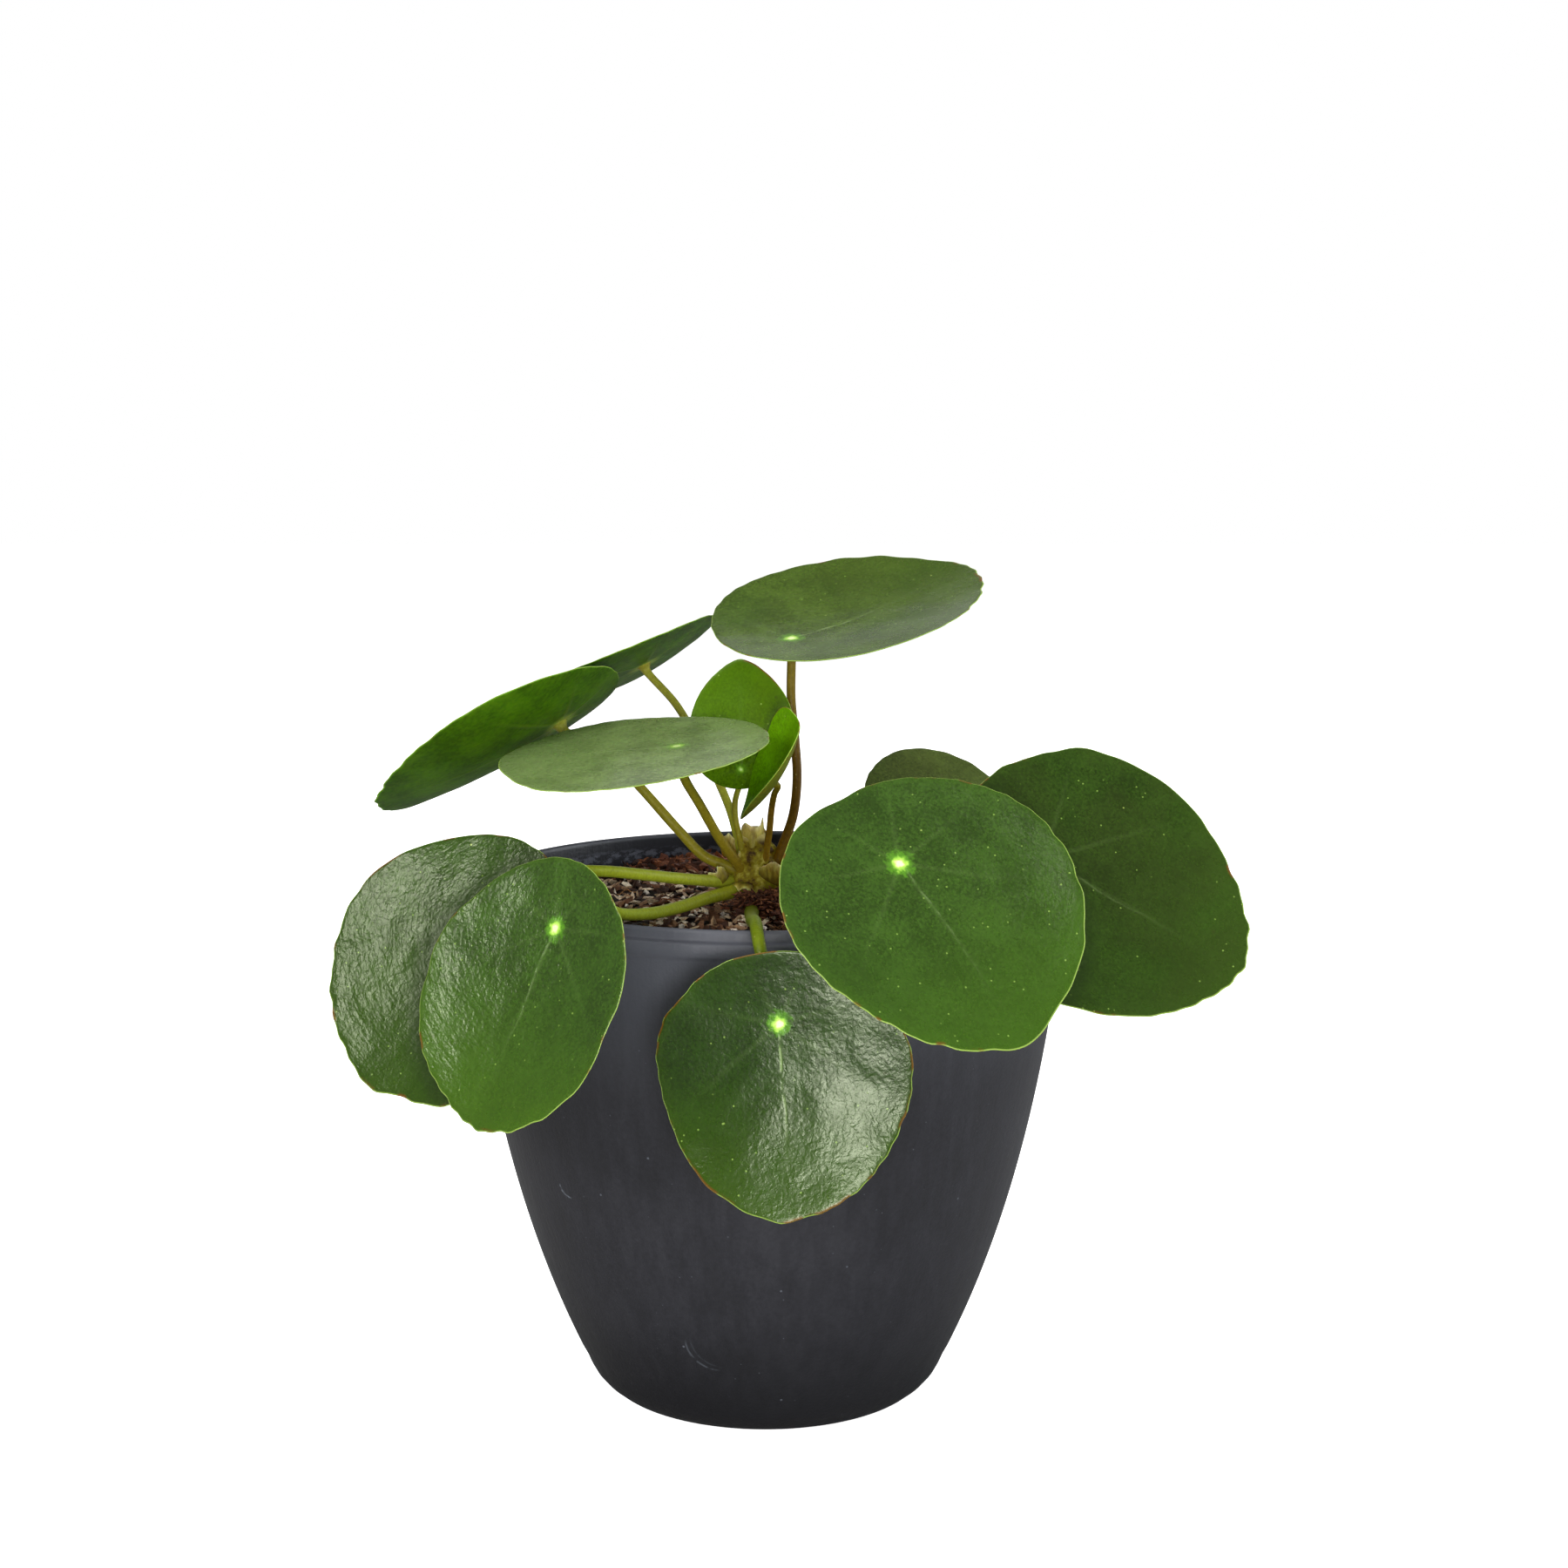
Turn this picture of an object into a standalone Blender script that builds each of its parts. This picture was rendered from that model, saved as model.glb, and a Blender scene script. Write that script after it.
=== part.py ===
"""Potted Chinese money plant: round peltate leaves on long stalks from one short stem,
in a tapered charcoal pot filled with bark compost.

Metres, +Z up. The origin is the centre of the flat face that the pot stands on.
The side seen in the picture faces -Y. Tables of places are in millimetres and are
scaled once, by MM.
"""

import math
import random
from collections import namedtuple

import bmesh
import bpy
from mathutils import Matrix, Vector, noise

MM = 0.001

# Pot
POT_HEIGHT = 131.0
POT_FOOT_RADIUS = 45.5
POT_FOOT_HEIGHT = 7.0
POT_BELLY_RADIUS = 69.05
POT_BELLY_HEIGHT = 54.3
POT_SHOULDER_RADIUS = 75.2
POT_SHOULDER_HEIGHT = 124.6
POT_WALL = 2.7
POT_FLOOR = 3.0
RIM_BAND_RADIUS = 75.6
RIM_BAND_TOP = 128.4
RIM_LIP_RADIUS = 72.9
RIM_LIP_INNER_RADIUS = 71.3
POT_SIDES = 48

# Compost
SOIL_TOP = 121.8
SOIL_BUMP = 1.5
SOIL_MOUND = 2.4
STEM_HOLE_RADIUS = 3.8
STEM_HOLE_DEPTH = 25.0

# Stem
STEM_X = -2.5
STEM_BURIED_RADIUS = 3.5
STEM_TOP = 143.0

# Leaves
BLADE_THICKNESS = 0.65
BLADE_TIP = 0.03
BLADE_RINGS = (0.34, 0.64, 0.86, 1.0)
BLADE_SIDES = 36
YOUNG_BLADE_SIDES = 24
NICK_WIDTH = 13.0
SCALLOP_DEPTH = 0.006
STALK_STEPS = 2
GAP = 0.3

# Where a leaf's stalk meets the blade, the compass direction and height in degrees that
# its upper side faces, and the turn of its tip from straight downhill. Its length and
# width, how far the stalk sits behind the middle as a part of half the length, how much it
# cups along and across, how much wider its tip half is, and the wave of its edge. Lobes
# are (how many, how deep, the direction of one) and nicks (direction, how far the edge
# stands out there): depths are parts of half the length, directions degrees from the tip.
# Last, the way its stalk runs from the stem, and the stalk's diameter at stem and blade.
Leaf = namedtuple(
    "Leaf",
    "name hub faces turn length width behind cup_along cup_across tip_wide wave lobes nicks"
    " stalk thick colour",
)

MATURE = (0.065, 0.125, 0.024, 1)
DARK = (0.045, 0.075, 0.018, 1)
YOUNG = (0.100, 0.250, 0.008, 1)

LEAVES = (
    Leaf("top", (6.5, 2.0, 190.5), (-101, 75), 132, 69.5, 66.5, 0.50, 0.11, 0.16, -0.09, 0.15,
         ((2, 0.005, -55), (3, 0.004, -33), (5, 0.004, -22)), (),
         ((4.0, -0.5, 137.5), (7.0, 1.5, 146.0), (8.0, 3.0, 155.0), (7.5, 4.5, 164.5),
          (6.5, 4.5, 175.5)), (2.5, 2.2), MATURE),
    Leaf("back_left", (-32.0, 31.0, 181.5), (159, 60), 26, 64.5, 61.5, 0.29, 0.14, 0.06, 0.0, 0.15,
         ((2, 0.004, 25),), (),
         ((-7.0, 2.0, 140.5), (-9.0, 5.0, 147.0), (-12.5, 10.0, 154.5), (-17.5, 18.0, 163.0),
          (-23.5, 25.0, 172.0)), (2.2, 2.0), DARK),
    Leaf("left", (-52.0, 4.0, 169.0), (157, 51), 39, 67.5, 65.5, 0.44, 0.11, 0.18, 0.04, 0.2,
         ((4, 0.005, -32), (5, 0.004, 28)), (),
         ((-10.0, -1.0, 133.5), (-15.5, -1.0, 136.0), (-21.5, 0.0, 142.0), (-31.5, 2.0, 153.0),
          (-39.0, 3.5, 160.5)), (2.7, 2.2), DARK),
    Leaf("middle", (-21.0, -33.0, 167.5), (-127, 79), -59, 64.0, 60.5, 0.31, 0.0, -0.01, 0.09, 0.15,
         ((3, 0.005, 57), (4, 0.018, -15), (5, 0.006, 4)), (),
         ((-8.0, -4.0, 136.0), (-11.5, -7.0, 141.5), (-16.0, -15.0, 151.0),
          (-19.5, -25.0, 159.0)), (2.5, 2.2), MATURE),
    Leaf("young_upright", (-6.0, -5.5, 158.5), (-108, 14), -176, 31.5, 27.5, 0.69, 0.05, 0.02, -0.11,
         0.2, ((2, 0.005, -20), (4, 0.004, 5), (5, 0.006, -6)), (),
         ((-6.5, -2.5, 141.0), (-7.5, -3.0, 146.0), (-7.5, -2.5, 150.5), (-6.2, -1.5, 154.8)),
         (1.6, 1.4), YOUNG),
    Leaf("young_folded", (1.5, -18.5, 157.0), (-167, 28), 132, 32.0, 27.0, 0.24, 0.14, 0.48, 0.16,
         0.2, ((3, 0.007, -53), (4, 0.009, -25), (5, 0.007, -2)), ((35, -0.020), (105, -0.040)),
         ((0.4, -4.2, 139.0), (1.0, -6.0, 143.0), (1.5, -9.5, 149.0), (2.2, -14.0, 153.5)),
         (1.8, 1.5), YOUNG),
    Leaf("low_left_back", (-63.0, -55.0, 130.0), (-116.5, 26.5), -30, 65.3, 64.3, 0.41, -0.01, 0.10, 0.04,
         0.5, ((2, 0.006, -55), (3, 0.008, 27), (5, 0.011, -26)), ((5, 0.035), (15, -0.027)),
         ((-11.0, -4.0, 130.0), (-21.0, -14.0, 132.5), (-30.5, -25.0, 135.5),
          (-39.0, -35.0, 138.0), (-50.0, -43.5, 139.0), (-58.0, -49.5, 135.0)),
         (3.0, 2.6), MATURE),
    Leaf("low_left_front", (-46.0, -80.0, 133.0), (-127, 20.5), -12, 61.5, 55.6, 0.50, 0.02, 0.13, 0.04,
         0.4, ((3, 0.011, -30), (4, 0.011, 22)), ((-100, 0.048), (90, -0.051)),
         ((-7.5, -6.0, 128.0), (-14.0, -13.0, 127.5), (-21.0, -26.0, 127.5),
          (-27.5, -39.0, 128.5), (-33.5, -50.0, 130.5), (-38.5, -62.0, 135.0),
          (-42.5, -72.0, 136.0)), (3.2, 2.6), MATURE),
    Leaf("front", (3.0, -92.0, 114.5), (-95, 1), 4, 57.5, 55.5, 0.44, 0.10, -0.09, -0.08, 0.5,
         ((2, 0.009, 55), (3, 0.007, -30), (4, 0.006, -40), (5, 0.009, 24)),
         ((-135, -0.048), (-10, 0.022)),
         ((-3.5, -8.0, 126.5), (-2.5, -35.0, 129.0), (-2.0, -62.0, 132.2), (-1.5, -72.5, 133.2),
          (-0.5, -83.0, 130.5), (0.8, -86.5, 124.0), (2.2, -87.5, 118.0)), (3.6, 2.6), MATURE),
    Leaf("right_front", (29.5, -78.0, 147.0), (-79, 43), 25, 69.5, 67.0, 0.38, -0.03, 0.13, -0.07,
         0.4, ((3, 0.008, -57), (4, 0.006, 0), (5, 0.008, -28)), ((-175, -0.062), (0, 0.027)),
         ((4.2, -4.2, 129.2), (10.0, -18.0, 133.5), (18.0, -42.0, 139.5), (25.5, -63.0, 143.5)),
         (3.4, 2.7), MATURE),
    Leaf("right_back", (65.0, -45.0, 143.0), (-73, 39), 49, 73.0, 71.0, 0.39, 0.04, 0.08, -0.11,
         0.4, ((4, 0.004, 0), (5, 0.004, 10)), ((140, -0.031), (125, 0.035)),
         ((6.2, -2.4, 134.0), (20.0, -13.0, 140.0), (40.0, -28.0, 145.5), (56.0, -39.0, 145.5)),
         (3.0, 2.6), DARK),
    Leaf("behind", (41.5, 14.5, 144.0), (-58, 56), 93, 49.0, 47.0, 0.34, -0.05, 0.10, 0.04, 0.4,
         ((5, 0.004, 4),), (),
         ((2.5, 4.0, 133.0), (13.0, 8.0, 138.0), (28.0, 13.0, 141.0)), (2.4, 2.2), DARK),
)

# Papery scales left on the stem: where each stands, the way it leans, its height and width.
SCALES = (
    ((-3.6, -0.5, 140.0), (-0.1, -0.1, 1.0), 5.4, 3.6),
    ((-0.8, 1.0, 139.5), (0.05, 0.05, 1.0), 6.0, 3.2),
    ((0.6, -4.0, 129.5), (0.25, -0.2, 0.95), 6.0, 3.6),
    ((-9.3, -2.8, 131.3), (-0.6, -0.3, 0.6), 3.0, 1.6),
    ((-6.3, 0.3, 136.8), (-0.55, 0.0, 0.8), 4.0, 2.4),
)

for old in list(bpy.data.objects):
    bpy.data.objects.remove(old, do_unlink=True)

plant = bpy.data.collections.new("potted_chinese_money_plant")
bpy.context.scene.collection.children.link(plant)
helpers = bpy.data.collections.new("helpers")
bpy.context.scene.collection.children.link(helpers)
helpers.hide_render = True


def material(name, colour, roughness):
    made = bpy.data.materials.new(name)
    made.use_nodes = True
    shader = made.node_tree.nodes["Principled BSDF"]
    shader.inputs["Base Color"].default_value = colour
    shader.inputs["Roughness"].default_value = roughness
    shader.inputs["Metallic"].default_value = 0.0
    return made


def new_object(name, data, look, collection=plant):
    made = bpy.data.objects.new(name, data)
    collection.objects.link(made)
    if look is not None:
        data.materials.append(look)
    return made


def mesh_from(name, bm, smooth_angle=40):
    mesh = bpy.data.meshes.new(name)
    bm.to_mesh(mesh)
    bm.free()
    mesh.shade_smooth()
    mesh.set_sharp_from_angle(angle=math.radians(smooth_angle))
    return mesh


def profile_object(name, points, look, sides):
    """A turned solid: the profile, in millimetres of radius and height, swept by a Screw."""
    bm = bmesh.new()
    verts = [bm.verts.new((radius * MM, 0, height * MM)) for radius, height in points]
    for first, second in zip(verts, verts[1:]):
        bm.edges.new((first, second))
    made = new_object(name, mesh_from(name, bm), look)
    screw = made.modifiers.new("turn", "SCREW")
    screw.steps = sides
    screw.render_steps = sides
    screw.use_merge_vertices = True
    screw.merge_threshold = 0.00001
    return made


def side_radius(height):
    """The pot's outer radius between its foot and its shoulder: one smooth curve."""
    low = Vector((POT_FOOT_RADIUS, POT_FOOT_HEIGHT))
    belly = Vector((POT_BELLY_RADIUS, POT_BELLY_HEIGHT))
    high = Vector((POT_SHOULDER_RADIUS, POT_SHOULDER_HEIGHT))
    below, above = 0.0, 1.0
    for _ in range(30):
        middle = (below + above) / 2
        point = low * (1 - middle) ** 2 + belly * 2 * middle * (1 - middle) + high * middle**2
        if point.y < height:
            below = middle
        else:
            above = middle
    return point.x


# Pot: outer side from the lip down, the flat base, then the inside up to the lip again
outer_heights = [POT_SHOULDER_HEIGHT - 0.9, 108, 92, 76, 60, 45, 31, 19, 10]
pot_profile = [
    (RIM_LIP_INNER_RADIUS + 0.5, POT_HEIGHT),
    (RIM_LIP_RADIUS - 0.4, POT_HEIGHT - 0.2),
    (RIM_LIP_RADIUS, POT_HEIGHT - 0.7),
    (RIM_LIP_RADIUS + 0.1, RIM_BAND_TOP),
    (RIM_BAND_RADIUS - 0.4, RIM_BAND_TOP),
    (RIM_BAND_RADIUS, RIM_BAND_TOP - 0.5),
    (RIM_BAND_RADIUS, POT_SHOULDER_HEIGHT + 0.2),
]
pot_profile += [(side_radius(height), height) for height in outer_heights]
pot_profile += [(45.5, 7.0), (44.0, 4.5), (42.0, 2.4), (40.0, 1.0), (37.5, 0.2), (35.0, 0.0)]
pot_profile += [(0.0, 0.0), (0.0, POT_FLOOR)]


def inner_radius(height):
    return side_radius(height) - POT_WALL


INNER_HEIGHTS = (9, 24, 42, 62, 84, 102, 116)
pot_profile += [(inner_radius(7) - 4.0, POT_FLOOR), (inner_radius(7) - 0.8, POT_FLOOR + 2.2)]
pot_profile += [(inner_radius(height), height) for height in INNER_HEIGHTS]
pot_profile += [
    (RIM_LIP_INNER_RADIUS, POT_HEIGHT - 1.0),
    (RIM_LIP_INNER_RADIUS + 0.5, POT_HEIGHT),
]
pot_look = material("charcoal_pot", (0.045, 0.050, 0.056, 1), 0.55)
profile_object("pot", pot_profile, pot_look, POT_SIDES)

# Compost: fills the pot to its wall, with a plain hole for the stem and a lumpy top
hole_floor = SOIL_TOP - STEM_HOLE_DEPTH
soil_edge = RIM_LIP_INNER_RADIUS - GAP
soil_profile = [(0.0, hole_floor), (STEM_HOLE_RADIUS, hole_floor), (STEM_HOLE_RADIUS, SOIL_TOP)]
soil_profile += [(radius, SOIL_TOP) for radius in (9, 19, 30, 41, 52, 62)]
soil_profile += [(soil_edge, SOIL_TOP)]
soil_profile += [(inner_radius(height) - GAP, height) for height in reversed(INNER_HEIGHTS)]
soil_profile += [(inner_radius(7) - 0.8 - GAP, POT_FLOOR + 2.2 + GAP)]
soil_profile += [(inner_radius(7) - 4.0 - GAP, POT_FLOOR + GAP), (0.0, POT_FLOOR + GAP)]


def soil_height(x, y):
    """The height of the compost at a place: crumbs all over and a bark mound at the back."""
    radius = math.hypot(x, y)
    bump = SOIL_BUMP * noise.noise(Vector((x / 7.0, y / 7.0, 3.1)))
    bump += 0.6 * SOIL_BUMP * noise.noise(Vector((x / 3.0, y / 3.0, 8.7)))
    away = math.hypot(x + 17, (y - 52) * 0.8)
    bump += SOIL_MOUND * math.exp(-((away / 17.0) ** 2))
    near_stem = math.hypot(x, y) / 16.0
    return SOIL_TOP + bump * min(1.0, near_stem) * min(1.0, (soil_edge + 8 - radius) / 16.0)


bm = bmesh.new()
verts = [bm.verts.new((radius * MM, 0, height * MM)) for radius, height in soil_profile]
edges = [bm.edges.new(pair) for pair in zip(verts, verts[1:])]
bmesh.ops.spin(
    bm, geom=verts + edges, cent=(0, 0, 0), axis=(0, 0, 1), angle=-2 * math.pi, steps=POT_SIDES,
    use_merge=True,
)
bmesh.ops.remove_doubles(bm, verts=bm.verts, dist=0.000001)
for vert in bm.verts:
    in_hole = math.hypot(vert.co.x, vert.co.y) < (STEM_HOLE_RADIUS + 1) * MM
    if in_hole and vert.co.z > (hole_floor - 1) * MM:
        # The stem stands a little left of the pot's middle, and the hole with it
        vert.co.x += STEM_X * MM
    elif abs(vert.co.z - SOIL_TOP * MM) < 0.00001:
        vert.co.z = soil_height(vert.co.x / MM, vert.co.y / MM) * MM
bmesh.ops.triangulate(bm, faces=bm.faces, quad_method="ALTERNATE")
bmesh.ops.recalc_face_normals(bm, faces=bm.faces)
soil_look = material("bark_compost", (0.045, 0.028, 0.018, 1), 0.95)
new_object("soil", mesh_from("soil", bm), soil_look)


def smooth_route(points, steps):
    """Points along a smooth curve through the given ones, which may be unevenly spaced."""
    points = [Vector(point) for point in points]
    padded = [points[0] * 2 - points[1]] + points + [points[-1] * 2 - points[-2]]
    knots = [0.0]
    for start, end in zip(padded, padded[1:]):
        knots.append(knots[-1] + math.sqrt((end - start).length))

    def blend(first, second, begin, finish, at):
        return first.lerp(second, (at - begin) / (finish - begin))

    route = []
    for index in range(1, len(padded) - 2):
        k0, k1, k2, k3 = knots[index - 1 : index + 3]
        p0, p1, p2, p3 = padded[index - 1 : index + 3]
        for step in range(steps):
            at = k1 + (k2 - k1) * step / steps
            a1 = blend(p0, p1, k0, k1, at)
            a2 = blend(p1, p2, k1, k2, at)
            a3 = blend(p2, p3, k2, k3, at)
            b1 = blend(a1, a2, k0, k2, at)
            b2 = blend(a2, a3, k1, k3, at)
            route.append(blend(b1, b2, k1, k2, at))
    route.append(points[-1])
    return route


def leaf_matrix(leaf):
    """Local +Z is the way the upper side faces and +X runs from the stalk to the tip."""
    azimuth, elevation = leaf.faces
    return (
        Matrix.Translation(Vector(leaf.hub) * MM)
        @ Matrix.Rotation(math.radians(azimuth), 4, "Z")
        @ Matrix.Rotation(math.radians(90 - elevation), 4, "Y")
        @ Matrix.Rotation(math.radians(leaf.turn), 4, "Z")
    )


def edge_reach(leaf, angle, scallops):
    """How far the edge stands out in a direction, where 1 is a plain ellipse."""
    reach = 1.0
    for count, depth, towards in leaf.lobes:
        reach += depth * math.cos(count * (angle - math.radians(towards)))
    for towards, depth in leaf.nicks:
        aside = math.degrees(math.remainder(angle - math.radians(towards), 2 * math.pi))
        reach += depth * math.exp(-((aside / NICK_WIDTH) ** 2))
    count, start = scallops
    uneven = 0.6 + 0.4 * math.sin(3 * angle + start)
    return reach + SCALLOP_DEPTH * uneven * math.sin(count * angle + start)


def blade_point(leaf, out, angle, scallops):
    """A point of the blade's middle surface, in millimetres of the leaf's own frame."""
    half, half_width = leaf.length / 2, leaf.width / 2
    from_tip = math.remainder(angle, 2 * math.pi)
    tip = BLADE_TIP * math.exp(-((from_tip / 0.28) ** 2))
    reach = out * edge_reach(leaf, angle, scallops)
    along = reach * half * (math.cos(angle) + tip + leaf.behind)
    across = reach * half_width * math.sin(angle) * (1 + leaf.tip_wide * math.cos(angle))
    up = (leaf.cup_along * along**2 + leaf.cup_across * across**2) / half
    wave = math.sin(3 * angle + scallops[1]) + 0.7 * math.sin(5 * angle + 2 * scallops[1])
    return Vector((along, across, up + leaf.wave * wave * out**3))


def make_blade(leaf, look, seed):
    """A disc of rings round the stalk, bent to the blade's form and given its thickness."""
    chance = random.Random(seed)
    scallops = (chance.randint(17, 21), chance.uniform(0, 2 * math.pi))
    sides = YOUNG_BLADE_SIDES if leaf.name.startswith("young") else BLADE_SIDES
    bm = bmesh.new()
    spoke = [bm.verts.new((out, 0, 0)) for out in (0.0,) + BLADE_RINGS]
    edges = [bm.edges.new(pair) for pair in zip(spoke, spoke[1:])]
    bmesh.ops.spin(
        bm, geom=spoke + edges, cent=(0, 0, 0), axis=(0, 0, 1), angle=2 * math.pi, steps=sides,
        use_merge=True,
    )
    bmesh.ops.remove_doubles(bm, verts=bm.verts, dist=0.0001)
    rim = [edge for edge in bm.edges if edge.is_boundary]
    bmesh.ops.subdivide_edges(bm, edges=rim, cuts=1)
    for vert in bm.verts:
        out = 1.0 if vert.is_boundary else vert.co.length
        vert.co = blade_point(leaf, out, math.atan2(vert.co.y, vert.co.x), scallops) * MM
    bmesh.ops.triangulate(bm, faces=bm.faces)
    bmesh.ops.recalc_face_normals(bm, faces=bm.faces)
    if sum(face.normal.z for face in bm.faces) < 0:
        bmesh.ops.reverse_faces(bm, faces=bm.faces)
    name = "leaf_" + leaf.name
    made = new_object(name, mesh_from(name, bm, 60), look)
    made.matrix_world = leaf_matrix(leaf)
    solid = made.modifiers.new("thickness", "SOLIDIFY")
    solid.thickness = BLADE_THICKNESS * MM
    solid.offset = 0.0
    return made


def stalk_route(leaf):
    """The stalk's centre line: from the stem, through its guide points, to the blade."""
    normal = leaf_matrix(leaf).to_3x3() @ Vector((0, 0, 1))
    end = Vector(leaf.hub) - normal * (BLADE_THICKNESS / 2 + GAP)
    square_on = end - normal * leaf.thick[1] * 0.8
    return smooth_route(leaf.stalk + (tuple(square_on), tuple(end)), STALK_STEPS)


def make_stalk(leaf, look):
    route = stalk_route(leaf)
    curve = bpy.data.curves.new("stalk_" + leaf.name, "CURVE")
    curve.dimensions = "3D"
    curve.bevel_depth = 1.0 * MM
    curve.bevel_resolution = 2
    curve.use_fill_caps = True
    spline = curve.splines.new("POLY")
    spline.points.add(len(route) - 1)
    at_stem, at_blade = leaf.thick
    for index, (point, place) in enumerate(zip(spline.points, route)):
        part = index / (len(route) - 1)
        point.co = (place.x * MM, place.y * MM, place.z * MM, 1)
        point.radius = (at_stem + (at_blade - at_stem) * part) / 2
    return new_object("stalk_" + leaf.name, curve, look)


blade_looks = {
    MATURE: material("mature_blade", MATURE, 0.45),
    DARK: material("shaded_blade", DARK, 0.5),
    YOUNG: material("young_blade", YOUNG, 0.4),
}
stalk_look = material("stalk", (0.150, 0.155, 0.020, 1), 0.45)
for seed, leaf in enumerate(LEAVES):
    make_blade(leaf, blade_looks[leaf.colour], seed)
    make_stalk(leaf, stalk_look)

# Stem: a short knob with a root end in the soil, the stalks' feet and papery scales on it
stem_profile = [
    (0.0, STEM_TOP),
    (1.8, STEM_TOP - 0.3),
    (2.9, STEM_TOP - 2.0),
    (3.8, STEM_TOP - 6.0),
    (4.7, STEM_TOP - 11.0),
    (5.3, STEM_TOP - 16.0),
    (4.6, STEM_TOP - 19.0),
    (STEM_BURIED_RADIUS, SOIL_TOP + 0.2),
    (STEM_BURIED_RADIUS, hole_floor + GAP),
    (0.0, hole_floor + GAP),
]
stem_look = material("stem", (0.120, 0.090, 0.025, 1), 0.6)
stem = profile_object("stem", stem_profile, stem_look, 20)
stem.location.x = STEM_X * MM


def cone_along(name, start, end, start_radius, end_radius, sides):
    """A helper cone between two places, in millimetres."""
    start, end = Vector(start), Vector(end)
    bm = bmesh.new()
    bmesh.ops.create_cone(
        bm, cap_ends=True, segments=sides, radius1=start_radius * MM, radius2=end_radius * MM,
        depth=(end - start).length * MM,
    )
    turn = (end - start).to_track_quat("Z", "Y").to_matrix().to_4x4()
    bmesh.ops.transform(bm, matrix=Matrix.Translation((start + end) / 2 * MM) @ turn, verts=bm.verts)
    return new_object(name, mesh_from(name, bm), None, helpers)


FOOT_INSIDE = 6.0
for leaf in LEAVES:
    route = stalk_route(leaf)
    away = (route[1] - route[0]).normalized()
    foot_end = route[0] - away * GAP
    foot_start = foot_end - away * FOOT_INSIDE
    foot_radius = leaf.thick[0] / 2
    cone_along("foot_" + leaf.name, foot_start, foot_end, foot_radius * 1.25, foot_radius * 1.05, 8)

for index, (place, lean, height, width) in enumerate(SCALES):
    direction = Vector(lean).normalized()
    top = Vector(place) + direction * height
    cone_along(f"scale_{index}", place, top, width / 2, 0.35, 8)

join = stem.modifiers.new("feet", "BOOLEAN")
join.operation = "UNION"
join.operand_type = "COLLECTION"
join.collection = helpers
join.solver = "EXACT"
bpy.context.view_layer.update()
graph = bpy.context.evaluated_depsgraph_get()
joined = bpy.data.meshes.new_from_object(stem.evaluated_get(graph))
stem.modifiers.clear()
stem.data = joined
for helper in list(helpers.objects):
    bpy.data.objects.remove(helper, do_unlink=True)


def keep_largest_body(mesh):
    """Drops what the union left loose, such as a pocket sealed between two feet."""
    bm = bmesh.new()
    bm.from_mesh(mesh)
    left = set(bm.faces)
    bodies = []
    while left:
        body = [left.pop()]
        for face in body:
            for edge in face.edges:
                for other in edge.link_faces:
                    if other in left:
                        left.remove(other)
                        body.append(other)
        bodies.append(body)
    bodies.sort(key=len)
    for body in bodies[:-1]:
        bmesh.ops.delete(bm, geom=body, context="FACES")
    bm.to_mesh(mesh)
    bm.free()


keep_largest_body(stem.data)
stem.data.shade_smooth()
stem.data.set_sharp_from_angle(angle=math.radians(50))
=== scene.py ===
"""The looks of the potted Chinese money plant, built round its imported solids.

Places are in millimetres and are scaled by MM. Lengths in materials are in metres, and
patterns in waves or cells per metre. The camera looks along +Y.
"""

import math
import random
from collections import namedtuple

import bmesh
import bpy
from mathutils import Matrix, Vector, noise


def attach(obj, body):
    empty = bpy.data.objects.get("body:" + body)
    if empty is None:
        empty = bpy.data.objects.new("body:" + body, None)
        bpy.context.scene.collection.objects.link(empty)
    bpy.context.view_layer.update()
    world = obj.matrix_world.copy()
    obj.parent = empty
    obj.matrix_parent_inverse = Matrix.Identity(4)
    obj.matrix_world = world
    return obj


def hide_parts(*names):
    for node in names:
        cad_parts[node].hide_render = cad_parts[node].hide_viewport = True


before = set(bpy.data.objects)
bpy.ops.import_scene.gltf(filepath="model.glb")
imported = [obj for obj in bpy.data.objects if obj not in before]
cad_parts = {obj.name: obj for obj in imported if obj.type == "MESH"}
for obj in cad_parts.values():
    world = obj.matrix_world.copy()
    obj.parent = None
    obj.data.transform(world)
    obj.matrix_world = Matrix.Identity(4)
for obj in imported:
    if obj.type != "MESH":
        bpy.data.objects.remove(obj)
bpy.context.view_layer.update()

MM = 0.001
FULL_TURN = 2 * math.pi

# Camera, from the ellipses of the pot's mouth and foot
CAMERA_DISTANCE = 0.6
CAMERA_HEIGHT = 0.2356
CAMERA_PITCH = 7.73
CAMERA_LENS = 55.32
CAMERA_SHIFT = 0.0119
CAMERA_NEAR = 0.01

# Sizes of the blades
BLADE_THICKNESS = 0.45
BLADE_TIP = 0.03
TIP_SPREAD = 0.28
BLADE_SIDES = 160
BLADE_STEPS = 36
ROUNDED_FROM = 0.965
MARGIN_STEPS = (0.45, 0.75, 0.93)
NICK_WIDTH = 13
SCALLOP_COUNTS = (17, 21)
SCALLOP_DEPTH = 0.006
FINE_SCALLOPS = 37
FINE_SCALLOP_DEPTH = 0.0045
YOUNG_LENGTH = 40
YOUNG_SCALLOPS = 0.25
PUCKER_LENGTH = 7
PUCKER_RISE = 0.2
FINE_PUCKERS = 2.7
FINE_PUCKER_RISE = 0.05
VEINS = 7
ARCS_OUTWARD = 1000
ARCS_ROUND = 9
SPOT_SIZE = 0.002
SPOT_LENGTH = 66

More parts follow.
